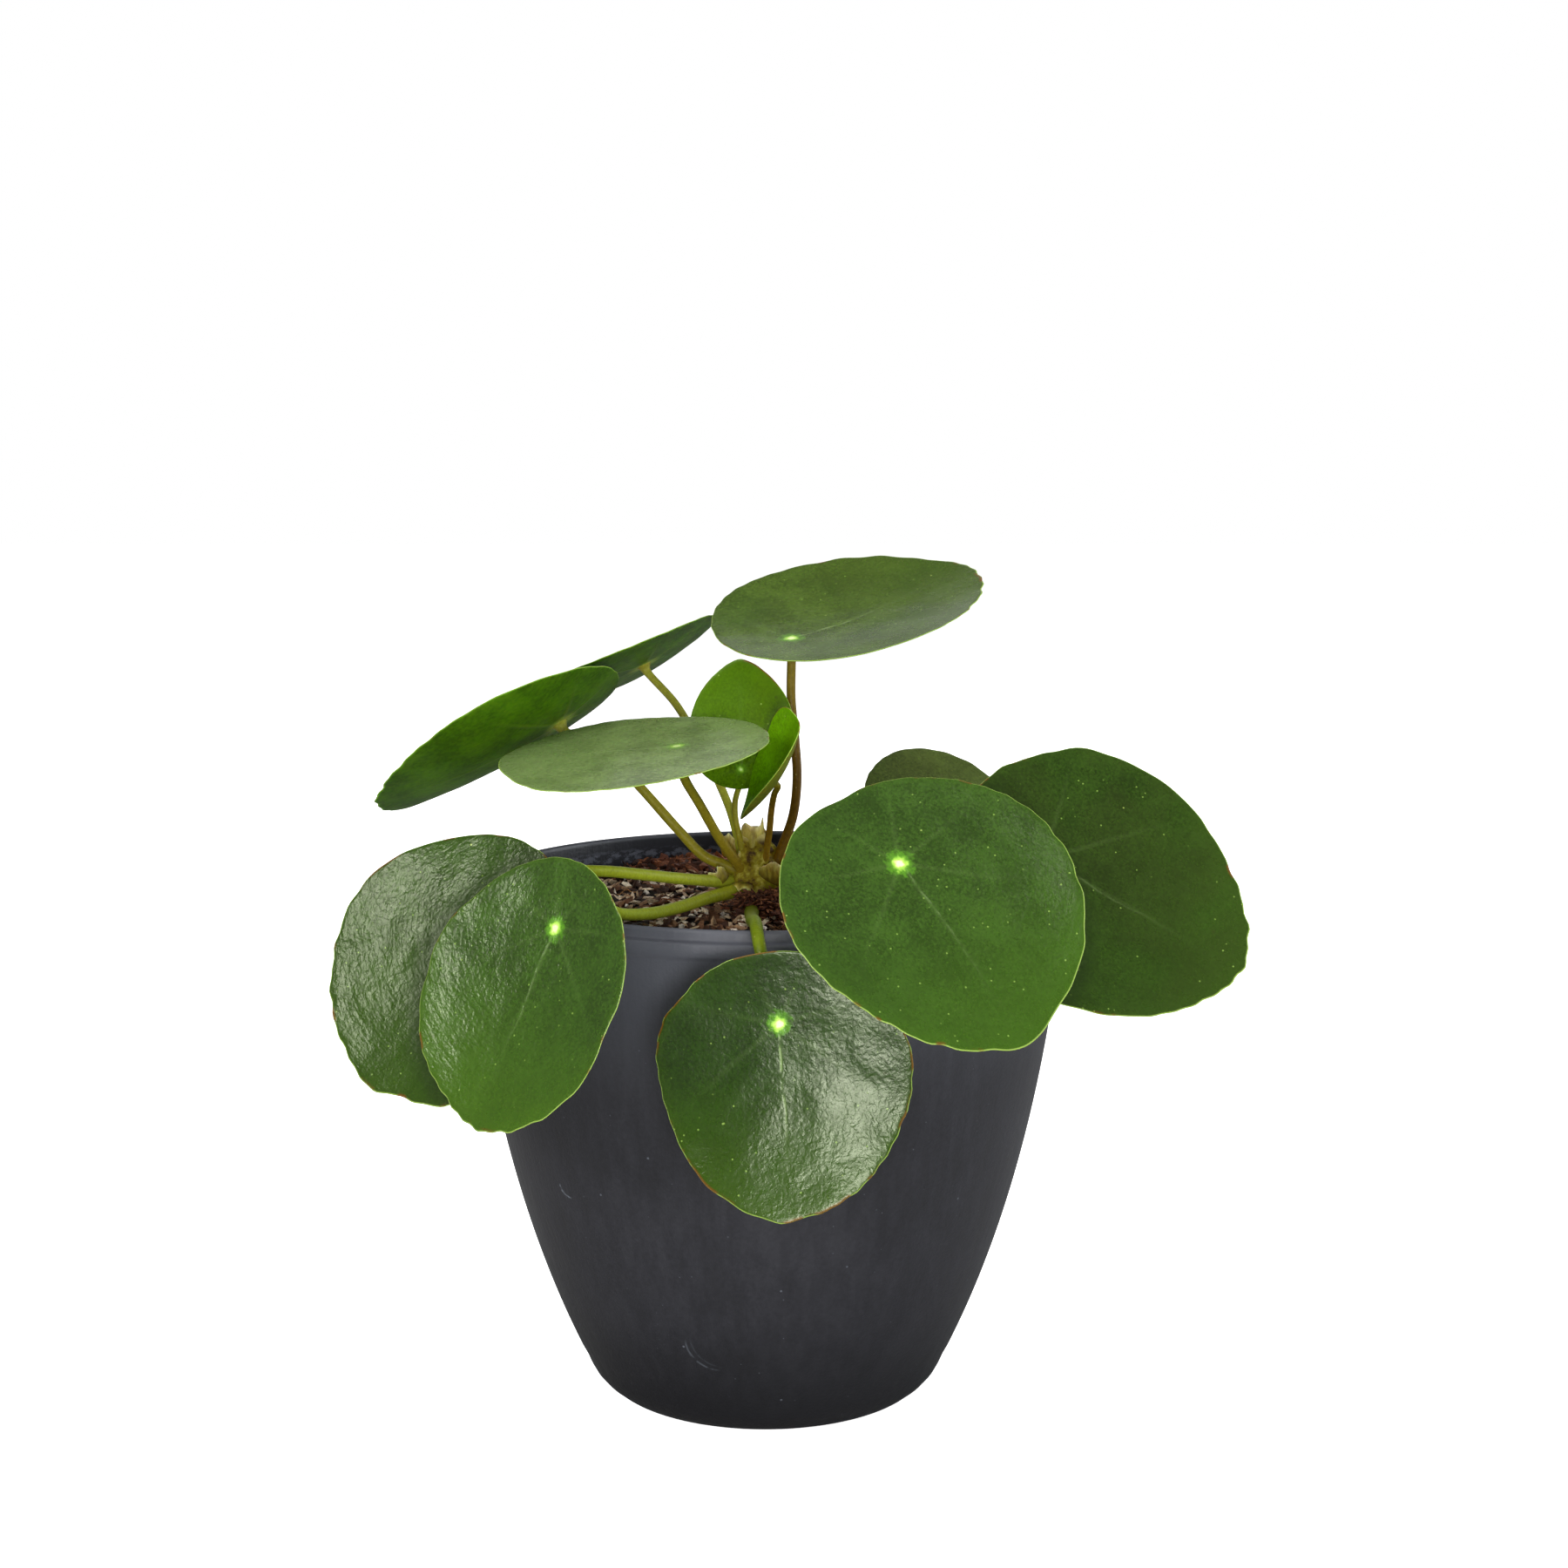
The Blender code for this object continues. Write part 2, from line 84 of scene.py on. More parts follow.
# Sizes of the stalks
STALK_SIDES = 20
STALK_STEPS = 12
FOOT_INSIDE = 6
FOOT_SWELL = 0.28
FOOT_SWELL_LENGTH = 2.6
FLARE = 0.55
FLARE_LENGTH = 0.45
STALK_UNEVEN = 0.03

# Sizes of the stem and its papery scales
STEM_X = -2.5
STEM_SIDES = 48
STEM_ROWS = 90
SCALE_COLUMNS = 30
SCALE_ROWS = 14
SCALE_THICKNESS = 0.12

# Sizes of the compost and litter
SOIL_TOP = 121.8
SOIL_BUMP = 1.5
SOIL_MOUND = 2.4
MOUND_X = -17
MOUND_Y = 52
MOUND_RADIUS = 17
SOIL_REACH = 79
SOIL_FADE = 16
SOIL_RINGS = 110
SOIL_SIDES = 260
SOIL_RADIUS = 71
SOIL_UNDER = 0.5
CRUMBS_FROM_STEM = 6.5
CRUMBS_TO_WALL = 69.5
MOUND_TO_WALL = 69
FIBRES_TO_WALL = 70
ROUND_STEM = (4.2, 8)
HEAP_ACROSS = (-7, 3.6)
HEAP_Y = -12.4
HEAP_SPREAD = 1.6
FIBRES = 170
FIBRES_AT_STEM = 90
FIBRE_STEPS = 8
FIBRE_SIDES = 5

# Sizes of the pot
POT_HEIGHT = 131
POT_SIDES = 192
POT_WALL = 2.7
POT_FLOOR = 3
SIDE_TOP = 124
SIDE_STEP = 2.6
SIDE_STEPS = 44

# As in the solids: where stalk and blade meet, the compass direction and height in degrees
# that its upper side faces, the turn of its tip from straight downhill, its length and width,
# how far the stalk sits behind the middle, how it cups along and across, how much wider its
# tip half is, the wave of its edge, its lobes and nicks, the stalk's way and its two diameters
Leaf = namedtuple(
    "Leaf",
    "name hub faces turn length width behind cup_along cup_across tip_wide wave lobes nicks"
    " stalk thick",
)

LEAVES = [Leaf(*row) for row in (
    ("top", (6.5, 2, 190.5), (-101, 75), 132, 69.5, 66.5, 0.5, 0.11, 0.16, -0.09, 0.15,
     ((2, 0.005, -55), (3, 0.004, -33), (5, 0.004, -22)), (), ((4, -0.5, 137.5), (7, 1.5, 146),
     (8, 3, 155), (7.5, 4.5, 164.5), (6.5, 4.5, 175.5)), (2.5, 2.2)),
    ("back_left", (-32, 31, 181.5), (159, 60), 26, 64.5, 61.5, 0.29, 0.14, 0.06, 0, 0.15,
     ((2, 0.004, 25),), (), ((-7, 2, 140.5), (-9, 5, 147), (-12.5, 10, 154.5), (-17.5, 18, 163),
     (-23.5, 25, 172)), (2.2, 2)),
    ("left", (-52, 4, 169), (157, 51), 39, 67.5, 65.5, 0.44, 0.11, 0.18, 0.04, 0.2,
     ((4, 0.005, -32), (5, 0.004, 28)), (), ((-10, -1, 133.5), (-15.5, -1, 136), (-21.5, 0, 142),
     (-31.5, 2, 153), (-39, 3.5, 160.5)), (2.7, 2.2)),
    ("middle", (-21, -33, 167.5), (-127, 79), -59, 64, 60.5, 0.31, 0, -0.01, 0.09, 0.15,
     ((3, 0.005, 57), (4, 0.018, -15), (5, 0.006, 4)), (), ((-8, -4, 136), (-11.5, -7, 141.5),
     (-16, -15, 151), (-19.5, -25, 159)), (2.5, 2.2)),
    ("young_upright", (-6, -5.5, 158.5), (-108, 14), -176, 31.5, 27.5, 0.69, 0.05, 0.02, -0.11, 0.2,
     ((2, 0.005, -20), (4, 0.004, 5), (5, 0.006, -6)), (), ((-6.5, -2.5, 141), (-7.5, -3, 146),
     (-7.5, -2.5, 150.5), (-6.2, -1.5, 154.8)), (1.6, 1.4)),
    ("young_folded", (1.5, -18.5, 157), (-167, 28), 132, 32, 27, 0.24, 0.14, 0.48, 0.16, 0.2,
     ((3, 0.007, -53), (4, 0.009, -25), (5, 0.007, -2)), ((35, -0.02), (105, -0.04)),
     ((0.4, -4.2, 139), (1, -6, 143), (1.5, -9.5, 149), (2.2, -14, 153.5)), (1.8, 1.5)),
    ("low_left_back", (-63, -55, 130), (-116.5, 26.5), -30, 65.3, 64.3, 0.41, -0.01, 0.1, 0.04, 0.5,
     ((2, 0.006, -55), (3, 0.008, 27), (5, 0.011, -26)), ((5, 0.035), (15, -0.027)),
     ((-11, -4, 130), (-21, -14, 132.5), (-30.5, -25, 135.5), (-39, -35, 138), (-50, -43.5, 139),
     (-58, -49.5, 135)), (3, 2.6)),
    ("low_left_front", (-46, -80, 133), (-127, 20.5), -12, 61.5, 55.6, 0.5, 0.02, 0.13, 0.04, 0.4,
     ((3, 0.011, -30), (4, 0.011, 22)), ((-100, 0.048), (90, -0.051)), ((-7.5, -6, 128),
     (-14, -13, 127.5), (-21, -26, 127.5), (-27.5, -39, 128.5), (-33.5, -50, 130.5),
     (-38.5, -62, 135), (-42.5, -72, 136)), (3.2, 2.6)),
    ("front", (3, -92, 114.5), (-95, 1), 4, 57.5, 55.5, 0.44, 0.1, -0.09, -0.08, 0.5,
     ((2, 0.009, 55), (3, 0.007, -30), (4, 0.006, -40), (5, 0.009, 24)), ((-135, -0.048),
     (-10, 0.022)), ((-3.5, -8, 126.5),), (3.6, 2.6)),
    ("right_front", (29.5, -78, 147), (-79, 43), 25, 69.5, 67, 0.38, -0.03, 0.13, -0.07, 0.4,
     ((3, 0.008, -57), (4, 0.006, 0), (5, 0.008, -28)), ((-175, -0.062), (0, 0.027)),
     ((4.2, -4.2, 129.2), (10, -18, 133.5), (18, -42, 139.5), (25.5, -63, 143.5)), (3.4, 2.7)),
    ("right_back", (65, -45, 143), (-73, 39), 49, 73, 71, 0.39, 0.04, 0.08, -0.11, 0.4,
     ((4, 0.004, 0), (5, 0.004, 10)), ((140, -0.031), (125, 0.035)), ((6.2, -2.4, 134),
     (20, -13, 140), (40, -28, 145.5), (56, -39, 145.5)), (3, 2.6)),
    ("behind", (41.5, 14.5, 144), (-58, 56), 93, 49, 47, 0.34, -0.05, 0.1, 0.04, 0.4,
     ((5, 0.004, 4),), (), ((2.5, 4, 133), (13, 8, 138), (28, 13, 141)), (2.4, 2.2)),
)]


def linear(colour, factor=1):
    """A colour from 0 to 255 as the linear values of materials."""
    parts = [value / 255 for value in colour]
    parts = [part / 12.92 if part < 0.04045 else ((part + 0.055) / 1.055) ** 2.4 for part in parts]
    return tuple(part * factor for part in parts) + (1,)


class Nodes:
    """Short calls that add and join nodes."""

    def __init__(self, owner, shader):
        owner.use_nodes = True
        self.tree = owner.node_tree
        self.shader = self.tree.nodes[shader]

    def feed(self, socket, value):
        """Sets a link or a plain value."""
        if isinstance(value, bpy.types.NodeSocket):
            self.tree.links.new(value, socket)
        else:
            socket.default_value = value

    def set(self, **inputs):
        for key, value in inputs.items():
            self.feed(self.shader.inputs[key.replace("_", " ")], value)

    def node(self, kind, output, inputs, **settings):
        """One output of a new node, with inputs by name or place."""
        made = self.tree.nodes.new("ShaderNode" + kind)
        for key, value in settings.items():
            setattr(made, key, value)
        for key, value in inputs.items():
            self.feed(made.inputs[key], value)
        return made.outputs[output]

    def maths(self, operation, *values):
        return self.node("Math", 0, dict(enumerate(values)), operation=operation)

    def vectors(self, operation, output, *values):
        return self.node("VectorMath", output, dict(enumerate(values)), operation=operation)

    def axes(self, coords):
        return self.node("SeparateXYZ", 0, {0: coords}).node.outputs

    def product(self, first, *others):
        for other in others:
            first = self.maths("MULTIPLY", first, other)
        return first

    def total(self, first, *others):
        """The sum of some products, each given by its factors."""
        result = self.product(*first)
        for other in others:
            result = self.maths("ADD", result, self.product(*other))
        return result

    def mix(self, factor, first, second, blend="MIX"):
        inputs = {"Factor": factor, "A": first, "B": second}
        return self.node("Mix", "Result", inputs, data_type="RGBA", blend_type=blend)

    def between(self, value, low, high, start, end, kind="LINEAR"):
        """Start where a value is low or less, end where it is high or more."""
        inputs = {"Value": value, "From Min": low, "From Max": high, "To Min": start, "To Max": end}
        return self.node("MapRange", "Result", inputs, interpolation_type=kind)

    def step(self, value, low, high):
        """0 below low, 1 above high and smooth between, or the other way round."""
        limits = (high, low, 1, 0) if low > high else (low, high, 0, 1)
        return self.between(value, *limits, "SMOOTHSTEP")


class Look(Nodes):
    """A material. Its colours of three numbers are from 0 to 255, those of four are linear."""

    def __init__(self, name, coords=None):
        self.material = bpy.data.materials.new(name)
        super().__init__(self.material, "Principled BSDF")
        if coords:
            self.coords = self.node("Attribute", "Vector", {}, attribute_name=coords)
        else:
            self.coords = self.node("TexCoord", "Object", {})

    def attribute(self, name):
        return self.node("Attribute", "Fac", {}, attribute_name=name)

    def stretch(self, *scale):
        return self.node("Mapping", "Vector", {"Vector": self.coords, "Scale": scale})

    def noise(self, scale, detail=2, roughness=0.5, distortion=0, coords=None):
        inputs = {"Vector": coords or self.coords, "Scale": scale, "Detail": detail,
                  "Roughness": roughness, "Distortion": distortion}
        return self.node("TexNoise", "Fac", inputs)

    def waver(self, scale, amount):
        """A noise about zero."""
        return self.product(self.maths("SUBTRACT", self.noise(scale), 0.5), amount)

    def ramp(self, value, *stops):
        """A colour ramp through (place, colour) stops."""
        made = self.node("ValToRGB", "Color", {"Fac": value})
        elements = made.node.color_ramp.elements
        while len(elements) < len(stops):
            elements.new(1.0)
        for element, (place, colour) in zip(elements, stops):
            element.position = place
            element.color = colour if len(colour) == 4 else linear(colour)
        return made

    def base(self, value, *stops):
        self.colour = self.ramp(value, *stops)

    def grain(self, share, value, *stops):
        """Darkens and lightens the colour by the factors of a ramp."""
        self.colour = self.mix(share, self.colour, self.ramp(value, *stops), "MULTIPLY")

    def cover(self, colour, *masks):
        """Lays another colour on top, as far as all the masks let it."""
        colour = colour if len(colour) == 4 else linear(colour)
        self.colour = self.mix(self.product(*masks), self.colour, colour)

    def dots(self, *kinds):
        """Dots by their scale, size, share of the cells, strength and colour."""
        for scale, size, share, strength, colour in kinds:
            inputs = {"Vector": self.coords, "Scale": scale}
            cells = self.node("TexVoronoi", "Distance", inputs)
            lot = self.axes(cells.node.outputs["Color"])[0]
            chosen = self.step(lot, 1 - share, 1.02 - share)
            self.cover(colour, self.step(cells, size, size * 0.5), chosen, strength)

    def done(self, height, distance, **inputs):
        """The material, with its colour, its finish and a relief in metres."""
        normal = self.node("Bump", "Normal", {"Distance": distance, "Height": height})
        self.set(Base_Color=self.colour, Normal=normal, **inputs)
        return self.material


def add_object(name, data):
    made = bpy.data.objects.new(name, data)
    bpy.context.scene.collection.objects.link(made)
    return made


def finish_piece(name, bm, slot, nodes, *materials):
    """The bmesh as a smooth object that rides on the root body."""
    mesh = bpy.data.meshes.new(name)
    bm.to_mesh(mesh)
    bm.free()
    mesh.shade_smooth()
    for material in materials:
        mesh.materials.append(material)
    made = add_object(name, mesh)
    if nodes:
        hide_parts(*nodes)
    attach(made, "root")
    return made


def disc(middle, rings):
    """The corners of a disc's faces: round its middle, then from ring to ring."""
    for index in range(len(rings[0])):
        after = (index + 1) % len(rings[0])
        yield middle, rings[0][index], rings[0][after]
        for inner, outer in zip(rings, rings[1:]):
            yield inner[index], outer[index], outer[after], inner[after]


def close_rings(bm, rings):
    """Faces round a tube, from ring to ring, and one over each end."""
    for first, second in zip(rings, rings[1:]):
        for index in range(len(first)):
            after = (index + 1) % len(first)
            bm.faces.new((first[index], first[after], second[after], second[index]))
    bm.faces.new(rings[0][::-1])
    bm.faces.new(rings[-1])


def angles_round(count):
    return [FULL_TURN * step / count for step in range(count)]


def round_point(radius, angle, height=0):
    return Vector((radius * math.cos(angle), radius * math.sin(angle), height))


# Blades

# A blade's colours (upper side, towards the tip, dull patches and underside), how strong its
# small relief and the rings round its stalk are, how brown its edge is in places, its shine
# and least roughness, how clear its midrib and stalk spot are, and its finish in the record
BladeLook = namedtuple(
    "BladeLook", "mid tip dull under relief arcs brown shine rough rib spot slot"
)

GREEN = BladeLook(
    (48, 75, 20), (64, 98, 14), (44, 72, 15), "mature",
    1.2, 0.55, 0.25, 0.5, 0.22, 0.12, 1, "leaf_mature",
)
# A darker copy of GREEN for blades that stand in shade: painted shade on their own green
SHADED_GREEN = BladeLook(
    (45, 68, 16), (51, 78, 17), (46, 52, 20), "mature",
    0.6, 0.3, 0.2, 0.35, 0.22, 0.08, 1, "leaf_shaded",
)
# Young blades' own light green, brightened and without blue as painted glow of light through them
YOUNG_GREEN = BladeLook(
    (69, 102, 5), (71, 107, 4), (70, 90, 5), "young",
    0.25, 0.2, 0.9, 0.1, 0.25, 0.15, 0.6, "leaf_young",
)
# Some blades are set darker or paler than the green they copy, to match how lit each looks, so
# their colours are partly painted light: front and low_left_back are darkened as painted shade, and
# middle, behind and young_folded are paled as painted light, middle's grey as painted sheen
BLADE_LOOKS = {
    "top": GREEN._replace(
        mid=(67, 88, 28), tip=(64, 85, 25), relief=0.5, shine=0.3, rib=0.4, spot=0.75
    ),
    "back_left": SHADED_GREEN,
    "left": SHADED_GREEN,
    "middle": GREEN._replace(
        mid=(108, 128, 76), tip=(112, 134, 78), dull=(94, 116, 62),
        relief=0.5, rib=0.3, spot=0.45,
    ),
    "young_upright": YOUNG_GREEN,
    "young_folded": YOUNG_GREEN._replace(mid=(98, 154, 6), tip=(94, 149, 5)),
    "low_left_back": GREEN._replace(mid=(42, 66, 14), tip=(48, 73, 13), brown=0.6, shine=0.42),
    "low_left_front": GREEN._replace(brown=0.4, rib=0.2),
    "front": GREEN._replace(
        mid=(28, 51, 6), tip=(54, 82, 6),
        relief=0.95, arcs=0.12, brown=0.9, shine=0.38, rib=0.5,
    ),
    "right_front": GREEN._replace(tip=(59, 93, 16), relief=0.9, arcs=0.3),
    "right_back": SHADED_GREEN._replace(mid=(40, 63, 14)),
    "behind": SHADED_GREEN._replace(mid=(86, 102, 44), tip=(86, 102, 44), dull=(76, 84, 36)),
}

# Painted shade where a neighbour's blade covers a blade: its middle, along and across the blade,
# its radius, and how far the shade reaches beyond it, in millimetres
PAINTED_SHADES = {
    "low_left_back": ((6.6, 20.6, 0), 29, 6.5),
    "right_back": ((-15, -28.9, 0), 34.5, 6),
}


def hub_spot(look, distance, size, strength):
    """The pale spot over the stalk, with a soft ragged edge."""
    ragged = look.maths("MULTIPLY_ADD", look.noise(900), -1.3, 1.65)
    reach = look.maths("DIVIDE", look.product(distance, ragged), size)
    for outer, inner, share, colour in (
        (1.9, 0.9, 0.6, (98, 164, 34)),
        (1.05, 0.5, 1, (176, 228, 84)),
        (0.6, 0.25, 1, (244, 255, 190)),
    ):
        look.cover(colour, look.step(reach, outer, inner), share * strength)


def blade_coords(look):
    """How far a point is from the stalk: along the blade, across and in all."""
    along, across, _ = look.axes(look.coords)
    return along, across, look.vectors("LENGTH", "Value", look.coords)


def arcs_round(look, along, across, distance):
    """A pattern of rings round the stalk."""
    turn = look.maths("ARCTAN2", across, along)
    places = [look.product(distance, ARCS_OUTWARD)]
    places += [look.product(look.maths(way, turn), ARCS_ROUND) for way in ("COSINE", "SINE")]
    return look.noise(1, coords=look.node("CombineXYZ", 0, dict(enumerate(places))))


def spokes(look, along, across, distance, width):
    """Slightly crooked lines that run out from the stalk."""
    turn = look.maths("ADD", look.maths("ARCTAN2", across, along), look.waver(60, 0.14))
    part = look.maths("ADD", look.product(turn, VEINS / FULL_TURN), 0.5)
    aside = look.maths("SUBTRACT", look.maths("FRACT", part), 0.5)
    off = look.product(look.maths("ABSOLUTE", aside), FULL_TURN / VEINS, distance)
    return look.step(off, width, width * 0.15)


def upper_look(leaf, kind):
    """A blade's upper side: mottled green, a pale spot, veins, margin and painted shade on some."""
    look = Look("upper_" + leaf.name, "local")
    half = leaf.length / 2 * MM
    place = along, across, distance = blade_coords(look)
    arcs = arcs_round(look, *place)
    out = look.attribute("out")
    flat_coords = look.coords
    look.coords = look.vectors("ADD", "Vector", flat_coords, Vector(leaf.hub) * 0.01)

    tone = look.total((look.noise(95, 3, 0.6), 0.36), (look.noise(1500, 3, 0.7), 0.64))
    look.base(tone, (0.42, linear(kind.mid, 0.66)), (0.5, kind.mid), (0.58, linear(kind.mid, 1.36)))
    look.cover(kind.tip, look.step(along, half * 0.2, half * 1.45), 0.6)
    look.cover(kind.dull, look.step(look.noise(36), 0.46, 0.62), 0.25)
    look.cover(linear(kind.tip, 0.95), look.step(out, 0.88, 1), 0.3)

    veins = spokes(look, *place, 0.0009)
    look.cover((126, 156, 84), veins, look.step(out, 1, 0.1), 0.07)
    off_rib = look.maths("ABSOLUTE", look.maths("ADD", across, look.waver(90, 0.0022)))
    ahead = look.product(look.step(along, 0, 0.002), look.step(along, half * 1.1, half * 0.2))
    broken = look.step(look.noise(300), 0.36, 0.56)
    rib = look.product(look.step(off_rib, 0.00038, 0.0001), ahead, broken)
    look.cover((160, 186, 122), rib, kind.rib)

    look.dots(
        (800, 0.22, 0.09, 0.6, (150, 184, 84)),
        (300, 0.1, 0.06, 0.7, (170, 190, 96)),
        (260, 0.14, 0.06, 0.4, (54, 60, 20)),
    )
    shaded = 0
    if leaf.name in PAINTED_SHADES:
        middle, radius, beyond = PAINTED_SHADES[leaf.name]
        away = look.vectors("DISTANCE", "Value", flat_coords, Vector(middle) * MM)
        shaded = look.step(away, (radius + beyond) * MM, radius * MM)
        # Painted shade: the colour is darkened where a neighbour's blade covers this one
        look.cover(linear(kind.mid, 0.4), shaded, 0.6)
    hub_spot(look, distance, SPOT_SIZE * leaf.length / SPOT_LENGTH, kind.spot)
    look.cover((166, 196, 92), look.step(out, 0.991, 0.998), 0.8)
    brown = 0.16 * kind.brown
    worn = look.step(look.noise(120, 3, 0.6), 0.62 - brown, 0.70 - brown)
    look.cover((112, 62, 22), look.step(out, 0.978, 0.996), worn, 0.85)

    peel = look.noise(900, 2, 0.5, 0.4)
    swell = look.noise(240, 2, 0.5, 0.6)
    return look.done(
        look.total((arcs, kind.arcs), (peel, 0.6), (swell, 0.5), (rib, -0.3)),
        0.00019 * kind.relief,
        Roughness=look.total((look.noise(400), 0.12), (kind.rough,), (shaded, 0.1)),
        Subsurface_Weight=0.1, Subsurface_Scale=0.0008, Subsurface_Radius=(0.5, 1, 0.2),
        Specular_IOR_Level=kind.shine, Specular_Tint=(0.94, 1, 0.76, 1),
    )


def under_look(name, pale, deep, vein):
    """A blade's matt underside, which lets light through."""
    look = Look("under_" + name, "local")
    place = _, _, distance = blade_coords(look)
    out = look.attribute("out")
    tone = look.total((look.noise(90, 3), 0.6), (look.noise(900), 0.4))
    look.base(tone, (0.38, deep), (0.62, pale))
    veins = look.product(spokes(look, *place, 0.0011), look.step(out, 1, 0.2))
    look.cover(vein, veins, 0.35)
    look.cover((150, 170, 70), look.step(distance, 0.006, 0.0012))
    look.dots((260, 0.14, 0.2, 0.4, vein))
    look.cover((150, 175, 70), look.step(out, 0.99, 0.998), 0.6)
    return look.done(
        look.total((look.noise(480, 3), 0.5), (veins, 0.5)), 0.00025, Roughness=0.55,
        Subsurface_Weight=0.4, Subsurface_Scale=0.0015, Subsurface_Radius=(0.35, 1, 0.1),
        Specular_IOR_Level=0.15,
    )


def leaf_matrix(leaf):
    """The leaf's own frame, with +Z up from its upper side and +X to its tip."""
    azimuth, elevation = leaf.faces
    return (
        Matrix.Translation(Vector(leaf.hub) * MM)
        @ Matrix.Rotation(math.radians(azimuth), 4, "Z")
        @ Matrix.Rotation(math.radians(90 - elevation), 4, "Y")
        @ Matrix.Rotation(math.radians(leaf.turn), 4, "Z")
    )


def edge_reach(leaf, angle, scallops):
    """How far the edge stands out, where 1 is a plain ellipse."""
    reach = 1.0
    for count, depth, towards in leaf.lobes:
        reach += depth * math.cos(count * (angle - math.radians(towards)))
    for towards, depth in leaf.nicks:
        aside = math.degrees(math.remainder(angle - math.radians(towards), FULL_TURN))
        reach += depth * math.exp(-((aside / NICK_WIDTH) ** 2))
    count, start = scallops
    uneven = 0.6 + 0.4 * math.sin(3 * angle + start)
    fine = FINE_SCALLOP_DEPTH * (0.5 + 0.5 * math.cos(2 * angle - start))
    wavy = SCALLOP_DEPTH * uneven * math.sin(count * angle + start)
    wavy += fine * math.sin(FINE_SCALLOPS * angle + 2 * start)
    return reach + wavy * (YOUNG_SCALLOPS if leaf.length < YOUNG_LENGTH else 1)


def blade_point(leaf, out, angle, scallops):
    """A point of the blade's middle surface, in the leaf's own frame."""
    half = leaf.length / 2
    from_tip = math.remainder(angle, FULL_TURN)
    tip = BLADE_TIP * math.exp(-((from_tip / TIP_SPREAD) ** 2))
    reach = out * edge_reach(leaf, angle, scallops)
    along = reach * half * (math.cos(angle) + tip + leaf.behind)
    across = reach * leaf.width / 2 * math.sin(angle) * (1 + leaf.tip_wide * math.cos(angle))
    up = (leaf.cup_along * along**2 + leaf.cup_across * across**2) / half
    wave = math.sin(3 * angle + scallops[1]) + 0.7 * math.sin(5 * angle + 2 * scallops[1])
    return Vector((along, across, up + leaf.wave * wave * out**3))


def pucker(leaf, place, out, relief):
    """The blade's unevenness in two sizes, which fades towards the stalk."""
    where = place / PUCKER_LENGTH + Vector((11 * leaf.hub[0], 3, 0))
    rise = PUCKER_RISE * noise.noise(where) + FINE_PUCKER_RISE * noise.noise(where * FINE_PUCKERS)
    return rise * relief * min(1, 3 * out)


def make_blade(leaf, seed, under):
    """A thin closed shell, whose two sides meet at a round margin."""
    kind = BLADE_LOOKS[leaf.name]
    chance = random.Random(seed)
    scallops = (chance.randint(*SCALLOP_COUNTS), chance.uniform(0, FULL_TURN))
    outs = [ROUNDED_FROM * step / BLADE_STEPS for step in range(1, BLADE_STEPS + 1)]
    outs += [ROUNDED_FROM + (1 - ROUNDED_FROM) * part for part in MARGIN_STEPS]
    placing = leaf_matrix(leaf)
    bm = bmesh.new()
    out_layer = bm.verts.layers.float.new("out")
    local_layer = bm.verts.layers.float_vector.new("local")

    def vertex(out, angle, side):
        place = blade_point(leaf, out, angle, scallops)
        past = max(0, (out - ROUNDED_FROM) / (1 - ROUNDED_FROM))
        thick = BLADE_THICKNESS / 2 * math.sqrt(max(0, 1 - past**2))
        place.z += pucker(leaf, place, out, kind.relief) + side * thick
        made = bm.verts.new(placing @ (place * MM))
        made[out_layer] = out
        made[local_layer] = place * MM
        return made

    angles = angles_round(BLADE_SIDES)
    rim = [vertex(1.0, angle, 0) for angle in angles]
    for side in (1, -1):
        middle = vertex(0.0, 0.0, side)
        rings = [[vertex(out, angle, side) for angle in angles] for out in outs] + [rim]
        for corners in disc(middle, rings):
            face = bm.faces.new(corners[::side])
            face.material_index = int(side < 0)
    looks = upper_look(leaf, kind), under[kind.under]
    finish_piece("blade_" + leaf.name, bm, kind.slot, ("leaf_" + leaf.name,), *looks)


# Stalks


def smooth_route(points, steps):
    """Points along a smooth curve through unevenly spaced ones."""
    points = [Vector(point) for point in points]
    padded = [points[0] * 2 - points[1]] + points + [points[-1] * 2 - points[-2]]
    knots = [0.0]
    for start, end in zip(padded, padded[1:]):
        knots.append(knots[-1] + math.sqrt((end - start).length))
    route = []
    for index in range(1, len(padded) - 2):
        near = knots[index - 1 : index + 3]
        for step in range(steps):
            at = near[1] + (near[2] - near[1]) * step / steps
            level = padded[index - 1 : index + 3]
            for spans in (((0, 1), (1, 2), (2, 3)), ((0, 2), (1, 3)), ((1, 2),)):
                level = [
                    first.lerp(second, (at - near[begin]) / (near[end] - near[begin]))
                    for first, second, (begin, end) in zip(level, level[1:], spans)
                ]
            route.append(level[0])
    route.append(points[-1])
    return route


def tube(bm, route, radii, sides, layer, shade=None):
    """A closed tube that doesn't twist, with its shade, or else its part of the length."""
    rings = []
    normal = None
    for index, place in enumerate(route):
        before = route[max(index - 1, 0)]
        after = route[min(index + 1, len(route) - 1)]
        ahead = (after - before).normalized()
        if normal is None:
            normal = ahead.orthogonal().normalized()
        normal = (normal - ahead * normal.dot(ahead)).normalized()
        other = ahead.cross(normal)
        ring = []
        for angle in angles_round(sides):
            reach = radii[index] * (math.cos(angle) * normal + math.sin(angle) * other)
            made = bm.verts.new((place + reach) * MM)
            made[layer] = index / (len(route) - 1) if shade is None else shade
            ring.append(made)
        rings.append(ring)
    close_rings(bm, rings)


